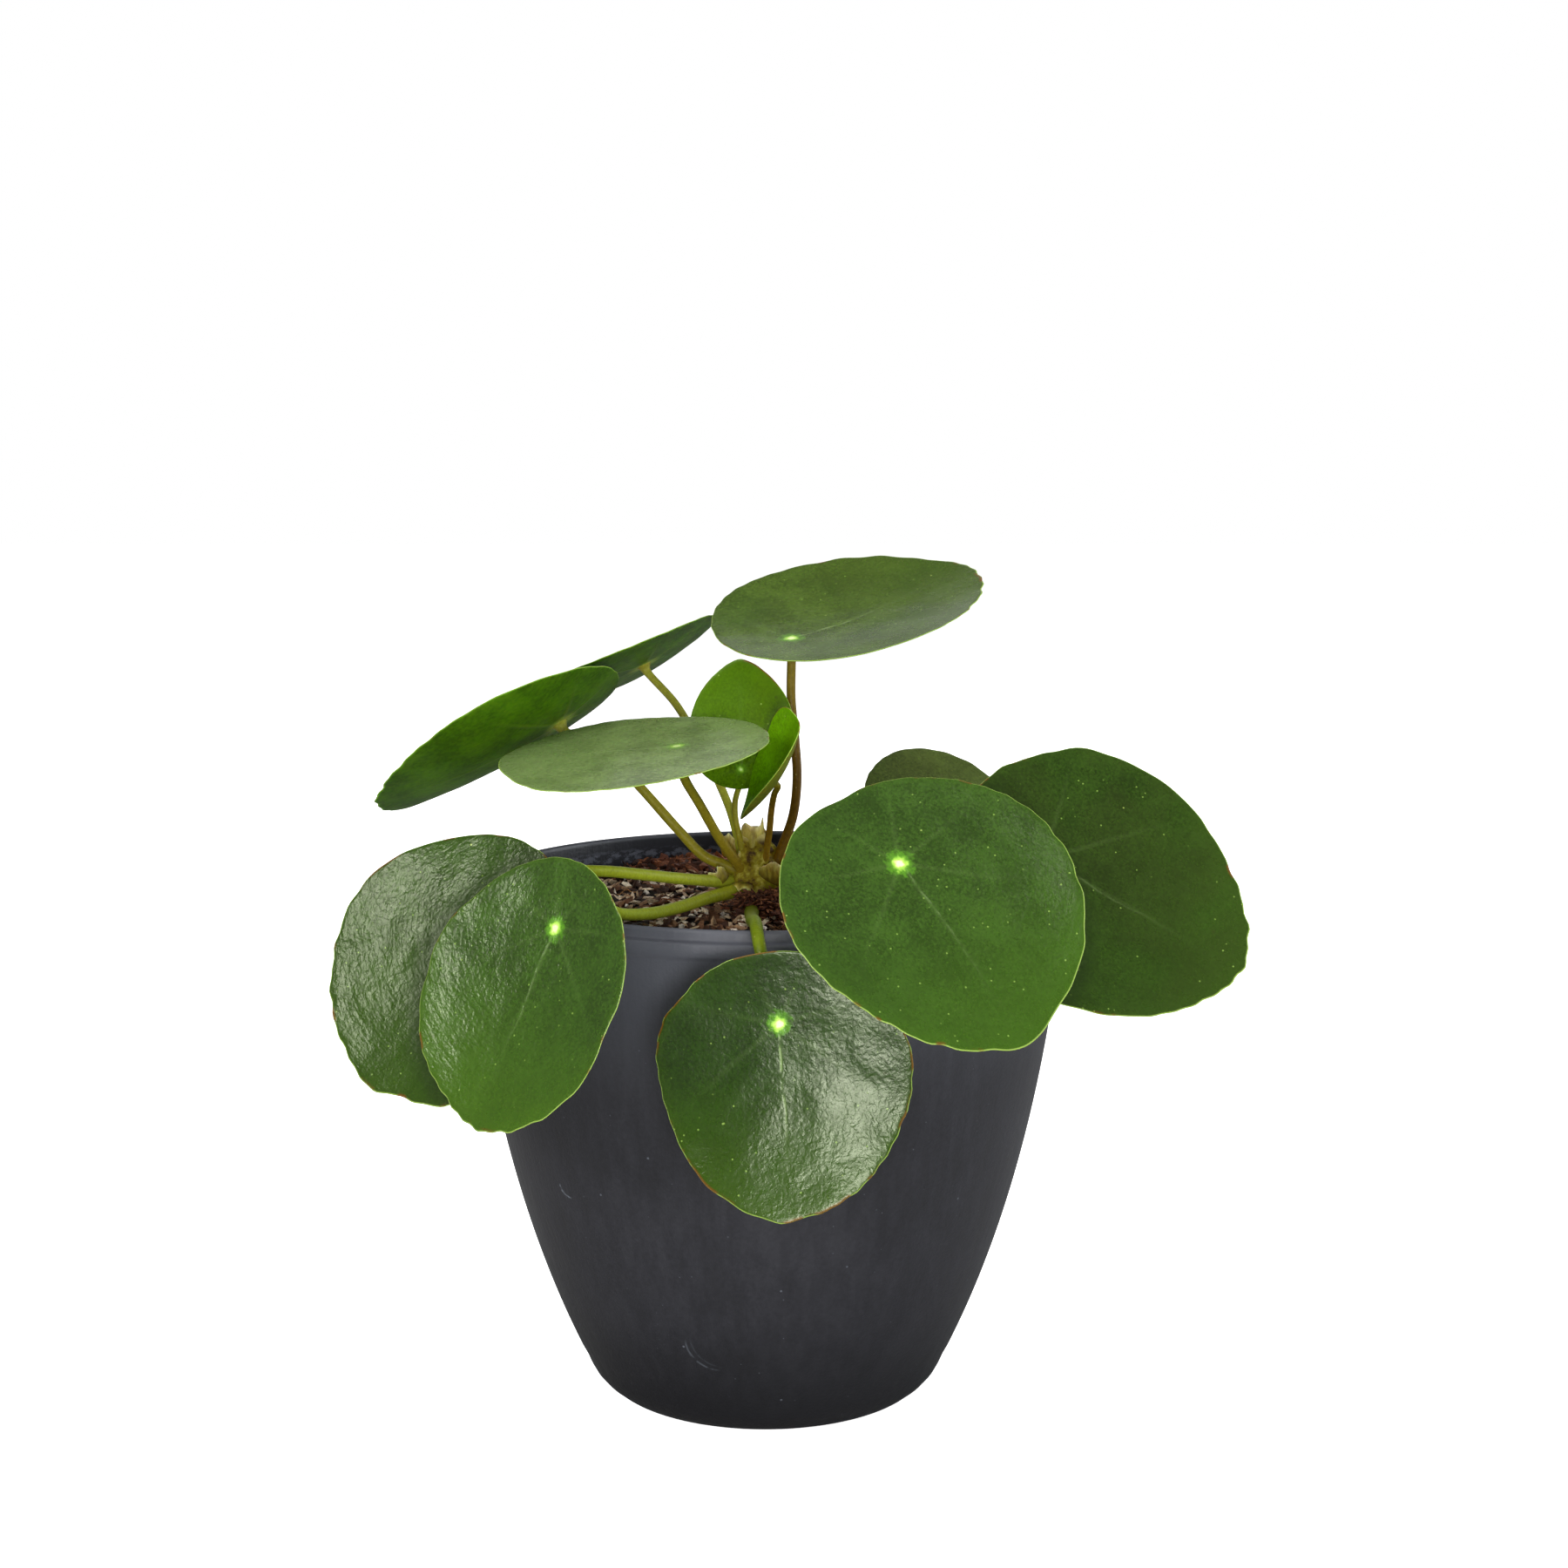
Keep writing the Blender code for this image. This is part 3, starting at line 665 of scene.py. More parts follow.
def stalk_look(name, low, middle, high):
    """A fleshy stalk, by its colours at the stem, half way and at the blade."""
    look = Look("stalk_" + name)
    look.base(look.attribute("along"), (0, low), (0.45, middle), (1, high))
    factors = ((0.35, (0.8, 0.78, 0.74, 1)), (0.65, (1.2, 1.2, 1.12, 1)))
    look.grain(0.75, look.noise(1200, 4, 0.65), *factors)
    look.dots((900, 0.25, 0.25, 0.35, (190, 180, 110)))
    return look.done(
        look.noise(1400), 0.00014, Roughness=0.42, Subsurface_Weight=0.15,
        Subsurface_Scale=0.001, Subsurface_Radius=(0.6, 1, 0.2), Specular_IOR_Level=0.18,
    )


OLIVE = (136, 126, 30)
LEAF_OLIVE = (128, 142, 30)
STALK_COLOURS = {
    "top": ((116, 86, 14), (104, 76, 10), (134, 124, 42)),
    "back_left": ((166, 168, 52), (158, 160, 60), (138, 136, 46)),
    "left": (OLIVE, (130, 122, 28), (134, 140, 46)),
    "middle": ((136, 116, 28), OLIVE, (122, 124, 34)),
    "young_upright": ((146, 138, 38), (138, 136, 34), (114, 138, 22)),
    "young_folded": ((140, 112, 28), (132, 102, 26), (116, 118, 24)),
    "low_left_back": ((160, 168, 46), (154, 168, 40), LEAF_OLIVE),
    "low_left_front": ((156, 160, 36), (153, 169, 38), LEAF_OLIVE),
    "front": ((88, 96, 14), (96, 112, 14), (100, 116, 18)),
    "right_front": ((160, 144, 32), LEAF_OLIVE, LEAF_OLIVE),
    "right_back": (OLIVE, LEAF_OLIVE, LEAF_OLIVE),
    "behind": (OLIVE, LEAF_OLIVE, LEAF_OLIVE),
}

# The rest of the front stalk's way: it rises out of the litter, a little below its solid
FRONT_ROUTE = (
    (-3.4, -9, 123.8), (-3.4, -22, 125.1), (-3.2, -36, 126.9), (-2.8, -62, 131),
    (-2.2, -72.5, 132.8), (-1.4, -83, 130.4), (0.2, -86.5, 124), (2, -87.5, 118),
)


def make_stalk(leaf):
    """The stalk, swollen at the stem and flared at the blade."""
    normal = leaf_matrix(leaf).to_3x3() @ Vector((0, 0, 1))
    hub = Vector(leaf.hub)
    lead = hub - normal * (BLADE_THICKNESS + leaf.thick[1] * 0.8)
    guides = FRONT_ROUTE if leaf.name == "front" else leaf.stalk
    route = smooth_route(guides + (tuple(lead), tuple(hub - normal * 0.15)), STALK_STEPS)
    away = (route[1] - route[0]).normalized()
    foot = [route[0] - away * FOOT_INSIDE * part for part in (1, 0.75, 0.5, 0.25)]
    route = foot + route
    lengths = [0.0]
    for start, end in zip(route, route[1:]):
        lengths.append(lengths[-1] + (end - start).length)
    at_stem, at_blade = leaf.thick
    radii = []
    for length in lengths:
        part = length / lengths[-1]
        radius = (at_stem + (at_blade - at_stem) * part) / 2
        radius *= 1 + FOOT_SWELL * math.exp(-((length / (FOOT_SWELL_LENGTH * at_stem)) ** 2))
        left = lengths[-1] - length
        radius += FLARE * at_blade * math.exp(-left / (FLARE_LENGTH * at_blade))
        radius *= 1 + STALK_UNEVEN * noise.noise(Vector((length / 6, leaf.hub[0], 0)))
        radii.append(radius)
    bm = bmesh.new()
    layer = bm.verts.layers.float.new("along")
    tube(bm, route, radii, STALK_SIDES, layer)
    look = stalk_look(leaf.name, *STALK_COLOURS[leaf.name])
    finish_piece("petiole_" + leaf.name, bm, "stalk", ("stalk_" + leaf.name,), look)


# Stem

# Height and radius of the knob, in millimetres
STEM_PROFILE = (
    (100, 3.4), (119, 3.6), (122, 4.4), (125, 5), (128, 5.3), (131, 5),
    (134, 4.5), (137, 4), (140, 3.3), (142.3, 2.3), (143.4, 0.9),
)

# Papery scales: the foot's place, the way it leans and faces, its height and width, how far
# it wraps round the stem, and its torn top edge as (place across, height) points
Scale = namedtuple("Scale", "foot lean faces height width wrap edge")
SCALES = [Scale(*row) for row in (
    ((-3.2, -3.5, 135), (0, 0, 1), (0, -1, 0), 10, 6, 1, ((-1, 0.62), (-0.62, 0.9), (-0.42, 0.99),
     (-0.2, 0.93), (0.1, 0.87), (0.4, 0.9), (0.66, 1.1), (0.8, 0.82), (1, 0.5))),
    ((-2.4, 1.6, 137), (0, 0, 1), (0, 1, 0), 6.4, 5.6, 1, ((-1, 0.7), (-0.4, 0.95), (0.1, 0.7),
     (0.5, 1), (1, 0.5))),
    ((-8.8, 0.8, 135.8), (-0.22, 0, 1), (-0.3, -1, 0.1), 6.6, 5.4, 0.4, ((-1, 0.86), (-0.7, 1),
     (-0.2, 0.78), (0.3, 0.86), (0.7, 0.6), (1, 0.45))),
    ((0.9, -8.4, 130.6), (0.48, -0.2, 0.88), (0.1, -1, 0.25), 5.4, 7.4, 0.6, ((-1, 0.2),
     (-0.75, 0.55), (-0.4, 0.95), (0, 1), (0.5, 0.92), (1, 0.7))),
    ((-10.2, -6, 130.2), (-0.55, -0.25, 0.7), (-0.35, -0.75, 0.6), 4.6, 4.8, 0.8, ((-1, 0.7),
     (-0.5, 1), (0, 0.72), (0.4, 0.95), (1, 0.55))),
    ((-5.8, -7.4, 130.4), (-0.15, -0.45, -0.75), (-0.1, -0.9, 0.5), 2.4, 6, 0.6, ((-1, 0.5),
     (-0.7, 0.9), (-0.3, 0.6), (0.1, 1), (0.5, 0.55), (0.8, 0.8), (1, 0.3))),
    ((-6.2, -3.4, 134), (-0.5, -0.3, 0.8), (-0.3, -1, 0.4), 4, 3.4, 0.6, ((-1, 0.6), (-0.3, 1),
     (0.3, 0.7), (1, 0.8))),
    ((2.6, 1.2, 133), (0.4, 0.4, 0.8), (0.6, 0.8, 0.2), 5, 4, 0.7, ((-1, 0.5), (-0.2, 1),
     (0.4, 0.7), (1, 0.6))),
    ((-6.8, 3.6, 129.5), (-0.4, 0.6, 0.6), (-0.4, 1, 0.3), 5, 4.2, 0.7, ((-1, 0.5), (-0.2, 0.8),
     (0.4, 1), (1, 0.4))),
)]


def along_profile(profile, height):
    """The radius of a (height, radius) profile at a height."""
    for (low, first), (high, second) in zip(profile, profile[1:]):
        if height <= high:
            part = (height - low) / (high - low)
            part = part * part * (3 - 2 * part)
            return first + (second - first) * part
    return profile[-1][1]


def stem_look():
    """Knobbly bark with a rusty foot, a pale top and a green lump."""
    look = Look("stem")
    x, _, z = look.axes(look.coords)
    look.base(
        look.noise(320, 4, 0.6),
        (0.4, (72, 50, 14)), (0.46, (118, 98, 22)), (0.54, (150, 138, 30)), (0.64, (196, 184, 84)),
    )
    look.cover((92, 46, 20), look.step(z, 0.1278, 0.1262), 0.9)
    look.cover((200, 186, 112), look.step(z, 0.1395, 0.1415))
    right = look.step(x, -0.001, 0.001)
    lump = (right, look.step(z, 0.1318, 0.1302), look.step(z, 0.1268, 0.1276))
    look.cover((148, 148, 22), *lump, 0.75)
    relief = look.noise(1100, 4, 0.6, 0.6)
    return look.done(relief, 0.0003, Roughness=0.45, Specular_IOR_Level=0.2)


def stalk_swell(angle, height):
    """How far the stem swells out where a stalk leaves it."""
    swell = 0
    for leaf in LEAVES:
        x, y, z = leaf.stalk[0]
        aside = math.remainder(angle - math.atan2(y, x - STEM_X), FULL_TURN)
        swell = max(swell, 1.2 * math.exp(-((aside / 0.5) ** 2) - ((height - z) / 2.4) ** 2))
    aside = math.remainder(angle + 1.15, FULL_TURN)
    bulge = 1.8 * math.exp(-((aside / 0.7) ** 2) - ((height - 129.6 + 1.6 * aside) / 2) ** 2)
    return max(swell, bulge)


def make_stem():
    """The knob that the stalks rise from, with ring scars, lumps and stalk feet."""
    bm = bmesh.new()
    low, high = STEM_PROFILE[0][0], STEM_PROFILE[-1][0]

    def vertex(height, angle):
        way = round_point(1, angle)
        lump = noise.noise(way * 1.6 + Vector((0, 0, height / 3.2)))
        scar = math.sin(height * 2.1 + 2.2 * noise.noise(way + Vector((5, 0, height / 9))))
        reach = along_profile(STEM_PROFILE, height) * (1 + 0.13 * lump + 0.035 * scar)
        reach += stalk_swell(angle, height)
        return bm.verts.new((Vector((STEM_X, 0, height)) + way * reach) * MM)

    heights = [low + (high - low) * row / STEM_ROWS for row in range(STEM_ROWS + 1)]
    angles = angles_round(STEM_SIDES)
    close_rings(bm, [[vertex(height, angle) for angle in angles] for height in heights])
    finish_piece("crown", bm, "stem", ("stem",), stem_look())


def scale_look():
    """Streaky dry paper: greener at the foot, pale and torn brown at the top."""
    look = Look("papery_scale")
    out = look.attribute("out")
    look.base(
        out, (0, (108, 98, 22)), (0.5, (158, 146, 54)), (0.85, (200, 188, 102)),
        (1, (238, 230, 172)),
    )
    streaks = look.noise(900, 3, 0.6, coords=look.stretch(1, 1, 0.3))
    look.grain(1, streaks, (0.36, (0.55, 0.5, 0.36, 1)), (0.64, (1.2, 1.2, 1.15, 1)))
    look.cover((82, 40, 16), look.step(out, 0.9, 0.98), look.step(look.noise(420), 0.56, 0.62))
    return look.done(
        streaks, 0.0003, Roughness=0.4, Subsurface_Weight=0.15, Subsurface_Scale=0.0012,
        Specular_IOR_Level=0.25,
    )


def scale_point(scale, number, across, part):
    """A point of a scale, by its place across, from -1 to 1, and its part of the height."""
    up = Vector(scale.lean).normalized()
    faces = Vector(scale.faces)
    faces = (faces - up * faces.dot(up)).normalized()
    aside = up.cross(faces)
    rise = scale.height * part * along_profile(scale.edge, across)
    rise += 0.25 * part * noise.noise(Vector((across * 6, number, 0)))
    turn = across * scale.wrap * math.pi / 2
    round_radius = scale.width / 2 / math.sin(scale.wrap * math.pi / 2)
    spread = 0.85 + 0.15 * part
    curl = 0.8 * part**2 * noise.noise(Vector((across * 2, part * 2, 3 + number)))
    return (
        Vector(scale.foot) + up * rise + aside * round_radius * spread * math.sin(turn)
        + faces * (round_radius * spread * (math.cos(turn) - 1) + curl)
    )


def make_scales():
    """Papery scales: curved sheets that hug the stem, torn at the top."""
    bm = bmesh.new()
    layer = bm.verts.layers.float.new("out")
    for number, scale in enumerate(SCALES):
        grid = []
        for row in range(SCALE_ROWS + 1):
            part = row / SCALE_ROWS
            line = []
            for column in range(SCALE_COLUMNS + 1):
                across = 2 * column / SCALE_COLUMNS - 1
                made = bm.verts.new(scale_point(scale, number, across, part) * MM)
                made[layer] = part
                line.append(made)
            grid.append(line)
        for first, second in zip(grid, grid[1:]):
            for index in range(SCALE_COLUMNS):
                bm.faces.new((first[index], first[index + 1], second[index + 1], second[index]))
    made = finish_piece("papery_scales", bm, "stem", (), scale_look())
    sheet = made.modifiers.new("thickness", "SOLIDIFY")
    sheet.thickness = SCALE_THICKNESS * MM
    sheet.offset = 0.0


# Compost

# Height and radius of its side, in millimetres
SOIL_SIDE = ((112, 70.5), (84, 65.5), (50, 55.5), (24, 47), (9, 42))


def soil_height(x, y):
    """The height of the compost, as in its solid."""
    radius = math.hypot(x, y)
    bump = SOIL_BUMP * noise.noise(Vector((x / 7, y / 7, 3.1)))
    bump += 0.6 * SOIL_BUMP * noise.noise(Vector((x / 3, y / 3, 8.7)))
    away = math.hypot(x - MOUND_X, (y - MOUND_Y) * 0.8)
    bump += SOIL_MOUND * math.exp(-((away / MOUND_RADIUS) ** 2))
    from_stem = min(1, radius / SOIL_FADE)
    from_wall = min(1, (SOIL_REACH - radius) / SOIL_FADE)
    return SOIL_TOP + bump * from_stem * from_wall


def soil_look():
    look = Look("compost")
    tone = look.noise(420, 4, 0.7)
    look.base(tone, (0.36, (14, 9, 6)), (0.5, (36, 23, 15)), (0.66, (76, 52, 35)))
    return look.done(look.noise(900, 4, 0.7), 0.0012, Roughness=0.85)


def make_soil():
    """The compost as one body, with a rough top and a plain side and bottom."""
    bm = bmesh.new()
    angles = angles_round(SOIL_SIDES)

    def top(radius, angle):
        x, y, _ = round_point(radius, angle)
        rough = 0.9 * noise.noise(Vector((x / 1.3, y / 1.3, 1)))
        rough += 0.6 * noise.noise(Vector((x / 0.6, y / 0.6, 5)))
        return bm.verts.new(Vector((x, y, soil_height(x, y) - SOIL_UNDER + rough)) * MM)

    middle = bm.verts.new(Vector((0, 0, SOIL_TOP - SOIL_UNDER)) * MM)
    rings = [
        [top(SOIL_RADIUS * (ring + 1) / SOIL_RINGS, angle) for angle in angles]
        for ring in range(SOIL_RINGS)
    ]
    for height, radius in SOIL_SIDE:
        rings.append([bm.verts.new(round_point(radius, angle, height) * MM) for angle in angles])
    for corners in disc(middle, rings):
        bm.faces.new(corners)
    bm.faces.new(rings[-1][::-1])
    finish_piece("compost", bm, "compost", ("soil",), soil_look())


def crumb_look(name, dark, middle, pale, rough):
    """Loose matter, where each crumb's shade picks its colour."""
    look = Look(name)
    look.base(look.attribute("shade"), (0, dark), (0.5, middle), (1, pale))
    factors = ((0.3, (0.35, 0.33, 0.32, 1)), (0.7, (1.45, 1.4, 1.35, 1)))
    look.grain(0.8, look.noise(1500, 3, 0.7), *factors)
    return look.done(look.noise(1800, 3, 0.6), 0.0004, Roughness=rough)


def anywhere(chance):
    """A place on the compost, clear of the stem and the wall."""
    while True:
        x, y = (chance.uniform(-CRUMBS_TO_WALL, CRUMBS_TO_WALL) for _ in range(2))
        clear = math.hypot(x - STEM_X, y) > CRUMBS_FROM_STEM
        if math.hypot(x, y) < CRUMBS_TO_WALL and clear:
            return x, y


def on_mound(chance):
    """A place on the bark mound at the back left."""
    while True:
        x, y = chance.gauss(-20, 11), chance.gauss(54, 7)
        if math.hypot(x, y) < MOUND_TO_WALL:
            return x, y


def round_stem(chance):
    angle = chance.uniform(0, FULL_TURN)
    radius = chance.uniform(*ROUND_STEM)
    return STEM_X + radius * math.cos(angle), radius * math.sin(angle)


def before_stem(chance):
    """A place in the fibre heap on the front stalk's foot."""
    x = chance.uniform(*HEAP_ACROSS)
    forward = 1.8 * math.exp(-(((x - FRONT_ROUTE[0][0]) / 2.4) ** 2))
    return x, chance.gauss(HEAP_Y, HEAP_SPREAD) - forward


def chip(bm, layer, chance, place, size, shade, roundness):
    """One crumb: a rough ball or sliver, lying about flat."""
    made = bmesh.ops.create_icosphere(bm, subdivisions=1, radius=1.0)["verts"]
    start = Vector([chance.uniform(0, 50) for _ in range(3)])
    roll = Matrix.Rotation(chance.gauss(0, 0.5), 3, "X")
    tilt = roll @ Matrix.Rotation(chance.gauss(0, 0.4), 3, "Y")
    turn = Matrix.Rotation(chance.uniform(0, FULL_TURN), 3, "Z") @ tilt
    for vert in made:
        dent = 1 + (1 - roundness) * 0.9 * noise.noise(vert.co * 1.3 + start)
        local = vert.co * Vector(size) * dent
        vert.co = (place + turn @ local) * MM
        vert[layer] = shade


# Loose pieces: name, material, how many, seed, (least, most) half lengths, roundness, heap's
# height, and where they lie
LITTER = (
    ("dark_bark", "dark_bark", 2100, 1, ((0.9, 3.6), (0.5, 1.5), (0.3, 0.9)), 0.2, 0.2, anywhere),
    ("tan_bark", "tan_bark", 1300, 2, ((0.9, 3.6), (0.4, 1.25), (0.25, 0.6)), 0.2, 1, anywhere),
    ("perlite", "perlite", 420, 3, ((0.6, 1.7), (0.5, 1.3), (0.3, 1)), 0.6, 1, anywhere),
    ("red_bark", "red_bark", 520, 4, ((1, 4), (0.5, 1.5), (0.4, 1.1)), 0.15, 1.8, on_mound),
    ("stem_litter", "red_bark", 420, 5, ((0.6, 2.2), (0.3, 0.8), (0.25, 0.7)), 0.2, 1.6,
     round_stem),
    ("stem_heap", "brown_fibre", 760, 7, ((0.7, 2.2), (0.15, 0.4), (0.15, 0.4)), 0.2, 7.2,
     before_stem),
)
# Each material's dark, middle and pale colours, and its roughness
LITTER_COLOURS = {
    "dark_bark": ((28, 17, 12), (72, 44, 30), (124, 84, 56), 0.75),
    # tan_bark's colours are made paler to make up for the dim light on the compost and to take in
    # its glints: partly painted light and painted highlights on its own tan
    "tan_bark": ((140, 98, 66), (210, 180, 144), (250, 238, 214), 0.55),
    "perlite": ((206, 188, 166), (236, 224, 208), (248, 242, 232), 0.9),
    "red_bark": ((40, 22, 13), (96, 50, 28), (160, 98, 58), 0.75),
    "brown_fibre": ((50, 24, 13), (92, 48, 28), (144, 94, 60), 0.75),
    "coir": ((78, 38, 16), (132, 80, 40), (176, 130, 80), 0.75),
}


def make_crumbs(materials):
    """One piece of many crumbs for each row of the litter."""
    for name, material, count, seed, size, roundness, lift, where in LITTER:
        chance = random.Random(seed)
        bm = bmesh.new()
        layer = bm.verts.layers.float.new("shade")
        for _ in range(count):
            x, y = where(chance)
            half = [chance.uniform(*limits) for limits in size]
            place = Vector((x, y, soil_height(x, y) + lift * chance.random()))
            chip(bm, layer, chance, place, half, chance.random(), roundness)
        made = finish_piece(name, bm, "compost", (), materials[material])
        made.data.set_sharp_from_angle(angle=math.radians(35))


def make_fibres(material):
    """Thin coir fibres on the compost and round the stem."""
    chance = random.Random(6)
    bm = bmesh.new()
    layer = bm.verts.layers.float.new("shade")
    for number in range(FIBRES):
        x, y = round_stem(chance) if number < FIBRES_AT_STEM else anywhere(chance)
        heading = chance.uniform(0, FULL_TURN)
        length = chance.uniform(3, 9)
        bend = chance.uniform(-1.2, 1.2)
        start = Vector((x, y, 0))
        route = []
        for step in range(FIBRE_STEPS + 1):
            part = step / FIBRE_STEPS
            way = heading + bend * part
            start = start + round_point(length / FIBRE_STEPS, way)
            if math.hypot(start.x, start.y) > FIBRES_TO_WALL:
                break
            rise = 0.6 + 1.2 * math.sin(math.pi * part) * chance.random()
            route.append(Vector((start.x, start.y, soil_height(start.x, start.y) + rise)))
        if len(route) > 2:
            radii = [chance.uniform(0.07, 0.16)] * len(route)
            tube(bm, route, radii, FIBRE_SIDES, layer, chance.random())
    finish_piece("coir_fibres", bm, "compost", (), material)


# Pot

# Pale curved marks on the pot's front: centre (x and height), radius, width and strength
POT_MARKS = (
    (-0.0108, 0.0283, 0.0082, 0.00035, 0.24),
    (-0.0098, 0.029, 0.008, 0.0003, 0.08),
    (-0.046, 0.064, 0.003, 0.0003, 0.7),
)

# Radius and height of the rim, from the inner lip to the shoulder, and of the foot, from the
# side to the middle of the underside
POT_RIM = (
    (71.35, 129.6), (71.5, 130.5), (71.9, 130.95), (72.4, POT_HEIGHT), (72.8, 130.7),
    (72.95, 130.1), (73, 128.9), (73.15, 128.5), (73.5, 128.35), (74.9, 128.35),
    (75.35, 128.15), (75.6, 127.7), (75.6, 125.3), (75.5, 124.9), (75.25, 124.6),
)
POT_FOOT = (
    (46.6, 9.6), (45.6, 7.2), (44.4, 5), (42.7, 3), (40.6, 1.3), (38.2, 0.4), (35.5, 0),
    (34, 0), (32.5, 0.5), (31.5, 0.8), (0, 0.8),
)
# The inside below the lip, down to where it runs parallel to the side, and those heights
POT_THROAT = ((71.3, 126), (71.2, 120), (71.1, 114))
POT_INSIDE_HEIGHTS = (100, 80, 60, 40, 24, 9)


def side_radius(height):
    """The pot's outer radius between foot and shoulder: one smooth curve."""
    low, belly, high = Vector((45.5, 7)), Vector((69.05, 54.3)), Vector((75.2, 124.6))
    below, above = 0, 1
    for _ in range(30):
        middle = (below + above) / 2
        point = low * (1 - middle) ** 2 + belly * 2 * middle * (1 - middle) + high * middle**2
        if point.y < height:
            below = middle
        else:
            above = middle
    return point.x


def round_distance(look, first, second):
    squares = [look.maths("POWER", value, 2) for value in (first, second)]
    return look.maths("SQRT", look.maths("ADD", *squares))


def pot_look():
    """Charcoal plastic with brushed streaks, pale specks, a scratch, a scar and painted light."""
    look = Look("charcoal_pot")
    x, y, z = look.axes(look.coords)
    streaks = look.noise(300, 3, 0.6, coords=look.stretch(1, 1, 0.04))
    tone = look.total((streaks, 0.5), (look.noise(26, 3, 0.55), 0.5))
    look.base(tone, (0.38, (33, 33, 37)), (0.5, (38, 38, 43)), (0.62, (44, 44, 49)))
    factors = ((0.36, (0.8, 0.8, 0.82, 1)), (0.64, (1.22, 1.22, 1.24, 1)))
    look.grain(0.6, look.noise(900, 3, 0.7), *factors)
    # Painted shade: darker towards the foot
    look.cover((12, 12, 16), look.step(z, 0.045, 0), 0.85)
    # Painted reflection: paler towards the rim
    look.cover((84, 86, 94), look.step(z, 0.085, 0.1285), 0.7)
    look.dots(
        (260, 0.1, 0.1, 0.6, (112, 118, 128)),
        (700, 0.16, 0.06, 0.5, (96, 100, 108)),
        (120, 0.07, 0.2, 0.45, (24, 25, 28)),
    )

    front = look.step(y, 0, -0.01)
    for centre_x, centre_z, radius, width, strength in POT_MARKS:
        to_x = look.maths("SUBTRACT", x, centre_x)
        to_z = look.maths("SUBTRACT", z, centre_z)
        reach = round_distance(look, to_x, to_z)
        off = look.maths("ABSOLUTE", look.maths("SUBTRACT", reach, radius))
        ends = [look.step(way, radius * 0.05, -radius * 0.3) for way in (to_x, to_z)]
        broken = look.product(front, look.step(look.noise(500), 0.35, 0.55))
        line = look.product(look.step(off, width, width * 0.2), *ends, broken)
        look.cover((126, 134, 144), line, strength)

    across = round_distance(look, x, y)
    inside = look.product(look.step(across, 0.0718, 0.0715), look.step(z, 0.108, 0.112))
    # Painted shade: the inner wall above the compost is darker
    look.cover((27, 29, 37), inside, look.step(z, 0.1305, 0.1298))
    spread = look.noise(560, 4, 0.7, coords=look.stretch(0.6, 0.6, 1.2))
    dirt = look.product(look.step(spread, 0.49, 0.57), look.step(z, 0.1282, 0.1262))
    look.cover((98, 102, 114), inside, dirt, 0.7)
    relief = look.total((streaks,), (look.noise(1400), 0.4))
    return look.done(relief, 0.00015, Roughness=look.total((streaks, 0.2), (0.36,)))


def make_pot():
    """The pot turned in one: over the rim, down the side, and back up the inside."""
    heights = [SIDE_TOP - SIDE_STEP * step for step in range(SIDE_STEPS)]
    side = tuple((side_radius(height), height) for height in heights)
    wall = tuple((side_radius(height) - POT_WALL, height) for height in POT_INSIDE_HEIGHTS)
    inside = POT_THROAT + wall + ((38, POT_FLOOR), (0, POT_FLOOR))
    bm = bmesh.new()

    def line(places):
        return [bm.verts.new((radius * MM, 0, height * MM)) for radius, height in places]

    outer = line(POT_RIM + side + POT_FOOT)
    inner = [outer[0]] + line(inside)
    edges = [bm.edges.new(pair) for row in (outer, inner) for pair in zip(row, row[1:])]
    bmesh.ops.spin(
        bm, geom=list(bm.verts) + edges, axis=(0, 0, 1), angle=FULL_TURN, steps=POT_SIDES,
        use_merge=True,
    )
    bmesh.ops.remove_doubles(bm, verts=bm.verts, dist=0.000002)
    bmesh.ops.recalc_face_normals(bm, faces=bm.faces)
    made = finish_piece("planter", bm, "pot", ("pot",), pot_look())
    made.data.set_sharp_from_angle(angle=math.radians(50))


# Studio

FLOOR_SIZE = 12
FLOOR_SEEN = (0.95, 0.95, 0.95, 1)
FLOOR_LIT = (0.3, 0.3, 0.3, 1)
FLOOR_GLOW = 0.9
SKY_LOW = 0.22
SKY_HIGH = 0.14
SKY_TOP = 0.85
WHITE = (1, 1, 1, 1)
LIT_POINT = Vector((0, -0.06, 0.12))
# Name, direction from the camera's side, height, distance, size, radiance, colour and
# whether it is seen in reflections
LIGHTS = (
    ("left", -48, 28, 1.3, 0.4, 17, (1, 0.99, 0.97), True),
    ("front", 6.5, 1, 1, 0.33, 27, (1, 1, 1), True),
    ("key", -15, 55, 1.5, 0.6, 2.4, (1, 0.99, 0.98), True),
    ("right", 100, 18, 1.3, 0.8, 5, (0.9, 0.95, 1), True),
    ("back", 180, 20, 1.5, 0.9, 0.55, (1, 1, 1), True),
    ("behind", 190, 35, 1.5, 1.2, 2, (1, 1, 1), False),
    ("above", 0, 84, 1.2, 1.4, 1.8, (1, 0.99, 0.97), False),
    ("fill", -4, 13, 1, 0.4, 3.8, (1, 0.99, 0.97), False),
)


def make_camera():
    camera = bpy.data.cameras.new("camera")
    camera.lens = CAMERA_LENS
    camera.shift_x = CAMERA_SHIFT
    camera.clip_start = CAMERA_NEAR
    made = add_object("camera", camera)
    made.location = (0, -CAMERA_DISTANCE, CAMERA_HEIGHT)
    made.rotation_euler = (math.radians(90 - CAMERA_PITCH), 0, 0)
    bpy.context.scene.camera = made


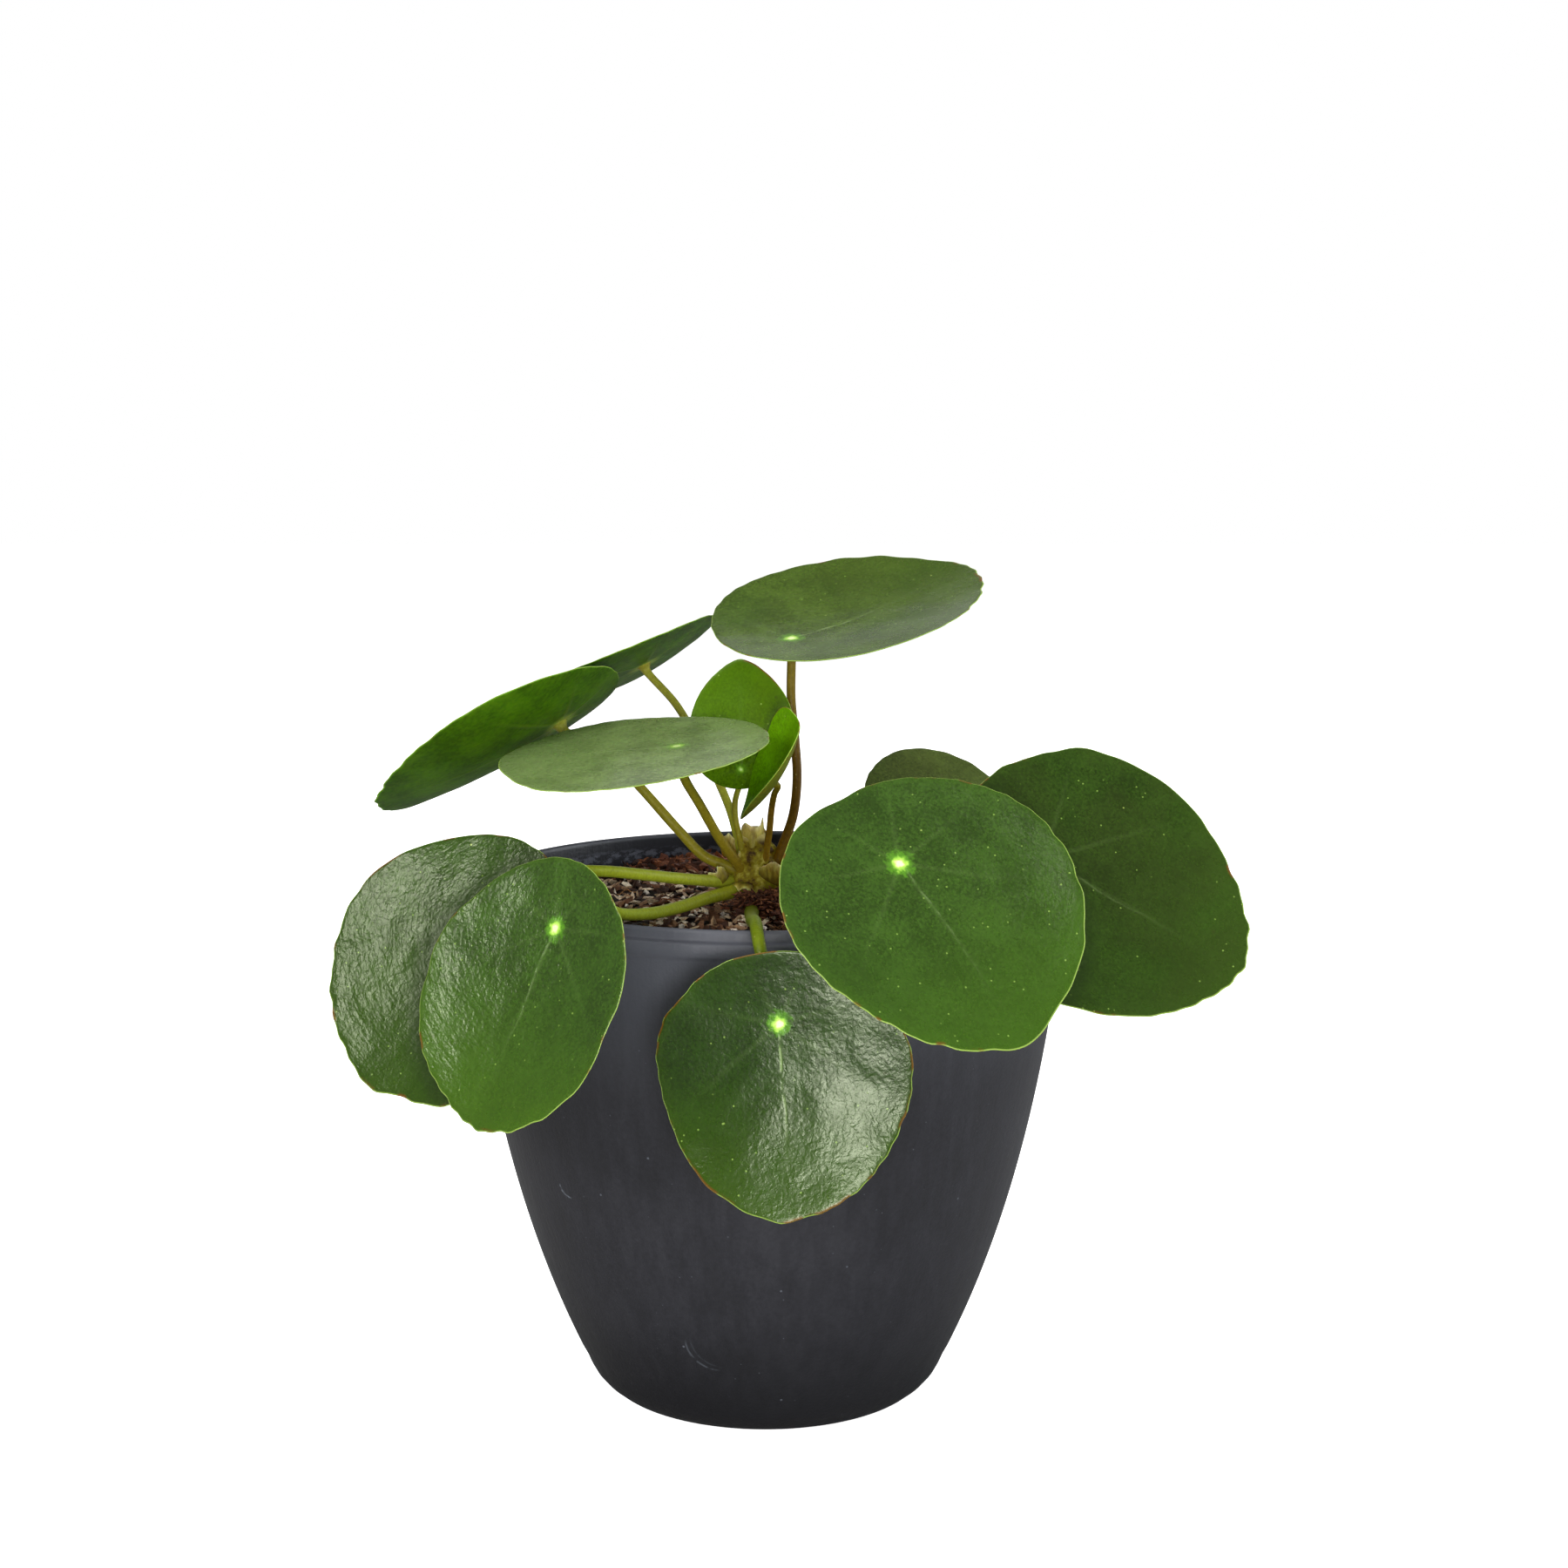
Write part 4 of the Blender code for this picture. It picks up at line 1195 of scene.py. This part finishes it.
def area_light(name, compass, height, distance, size, radiance, colour, reflected):
    """A soft round light, placed by directions in degrees and hidden from the camera."""
    compass, height = math.radians(compass), math.radians(height)
    level = math.cos(height)
    way = Vector((math.sin(compass) * level, -math.cos(compass) * level, math.sin(height)))
    light = bpy.data.lights.new(name, "AREA")
    light.shape = "DISK"
    light.size = size
    light.energy = radiance * (math.pi * size) ** 2 / 4
    light.color = colour
    made = add_object(name, light)
    made.location = LIT_POINT + way * distance
    made.rotation_euler = way.to_track_quat("Z", "Y").to_euler()
    made.visible_camera = False
    made.visible_glossy = reflected


def make_studio():
    """A pale floor that throws little light back, a white world and soft lights."""
    bpy.ops.mesh.primitive_plane_add(size=FLOOR_SIZE)
    floor = bpy.context.object
    floor.name = "floor"
    look = Look("floor")
    seen = look.node("LightPath", "Is Camera Ray", {})
    look.set(
        Base_Color=look.mix(seen, FLOOR_LIT, FLOOR_SEEN), Roughness=0.9, Specular_IOR_Level=0.1,
        Emission_Color=WHITE, Emission_Strength=look.product(seen, FLOOR_GLOW),
    )
    floor.data.materials.append(look.material)
    world = bpy.data.worlds.new("studio")
    around = Nodes(world, "Background")
    seen = around.node("LightPath", "Is Camera Ray", {})
    up = around.axes(around.node("TexCoord", "Generated", {}))[2]
    sky = around.between(up, 0, SKY_TOP, SKY_LOW, SKY_HIGH)
    around.set(Strength=around.between(seen, 0, 1, sky, 1), Color=WHITE)
    bpy.context.scene.world = world
    for light in LIGHTS:
        area_light(*light)
    bpy.context.scene.view_settings.view_transform = "Standard"


make_camera()
make_studio()
# The undersides' greens are brightened and stripped of blue as painted glow of light shining
# through the blades, on top of their own colour
undersides = {
    "mature": under_look("mature", (78, 118, 8), (50, 82, 2), (102, 130, 34)),
    "young": under_look("young", (112, 120, 26), (82, 86, 15), (138, 142, 58)),
}
for seed, leaf in enumerate(LEAVES):
    make_blade(leaf, seed, undersides)
    make_stalk(leaf)
make_stem()
make_scales()
make_soil()
litter = {name: crumb_look(name, *colours) for name, colours in LITTER_COLOURS.items()}
make_crumbs(litter)
make_fibres(litter["coir"])
make_pot()
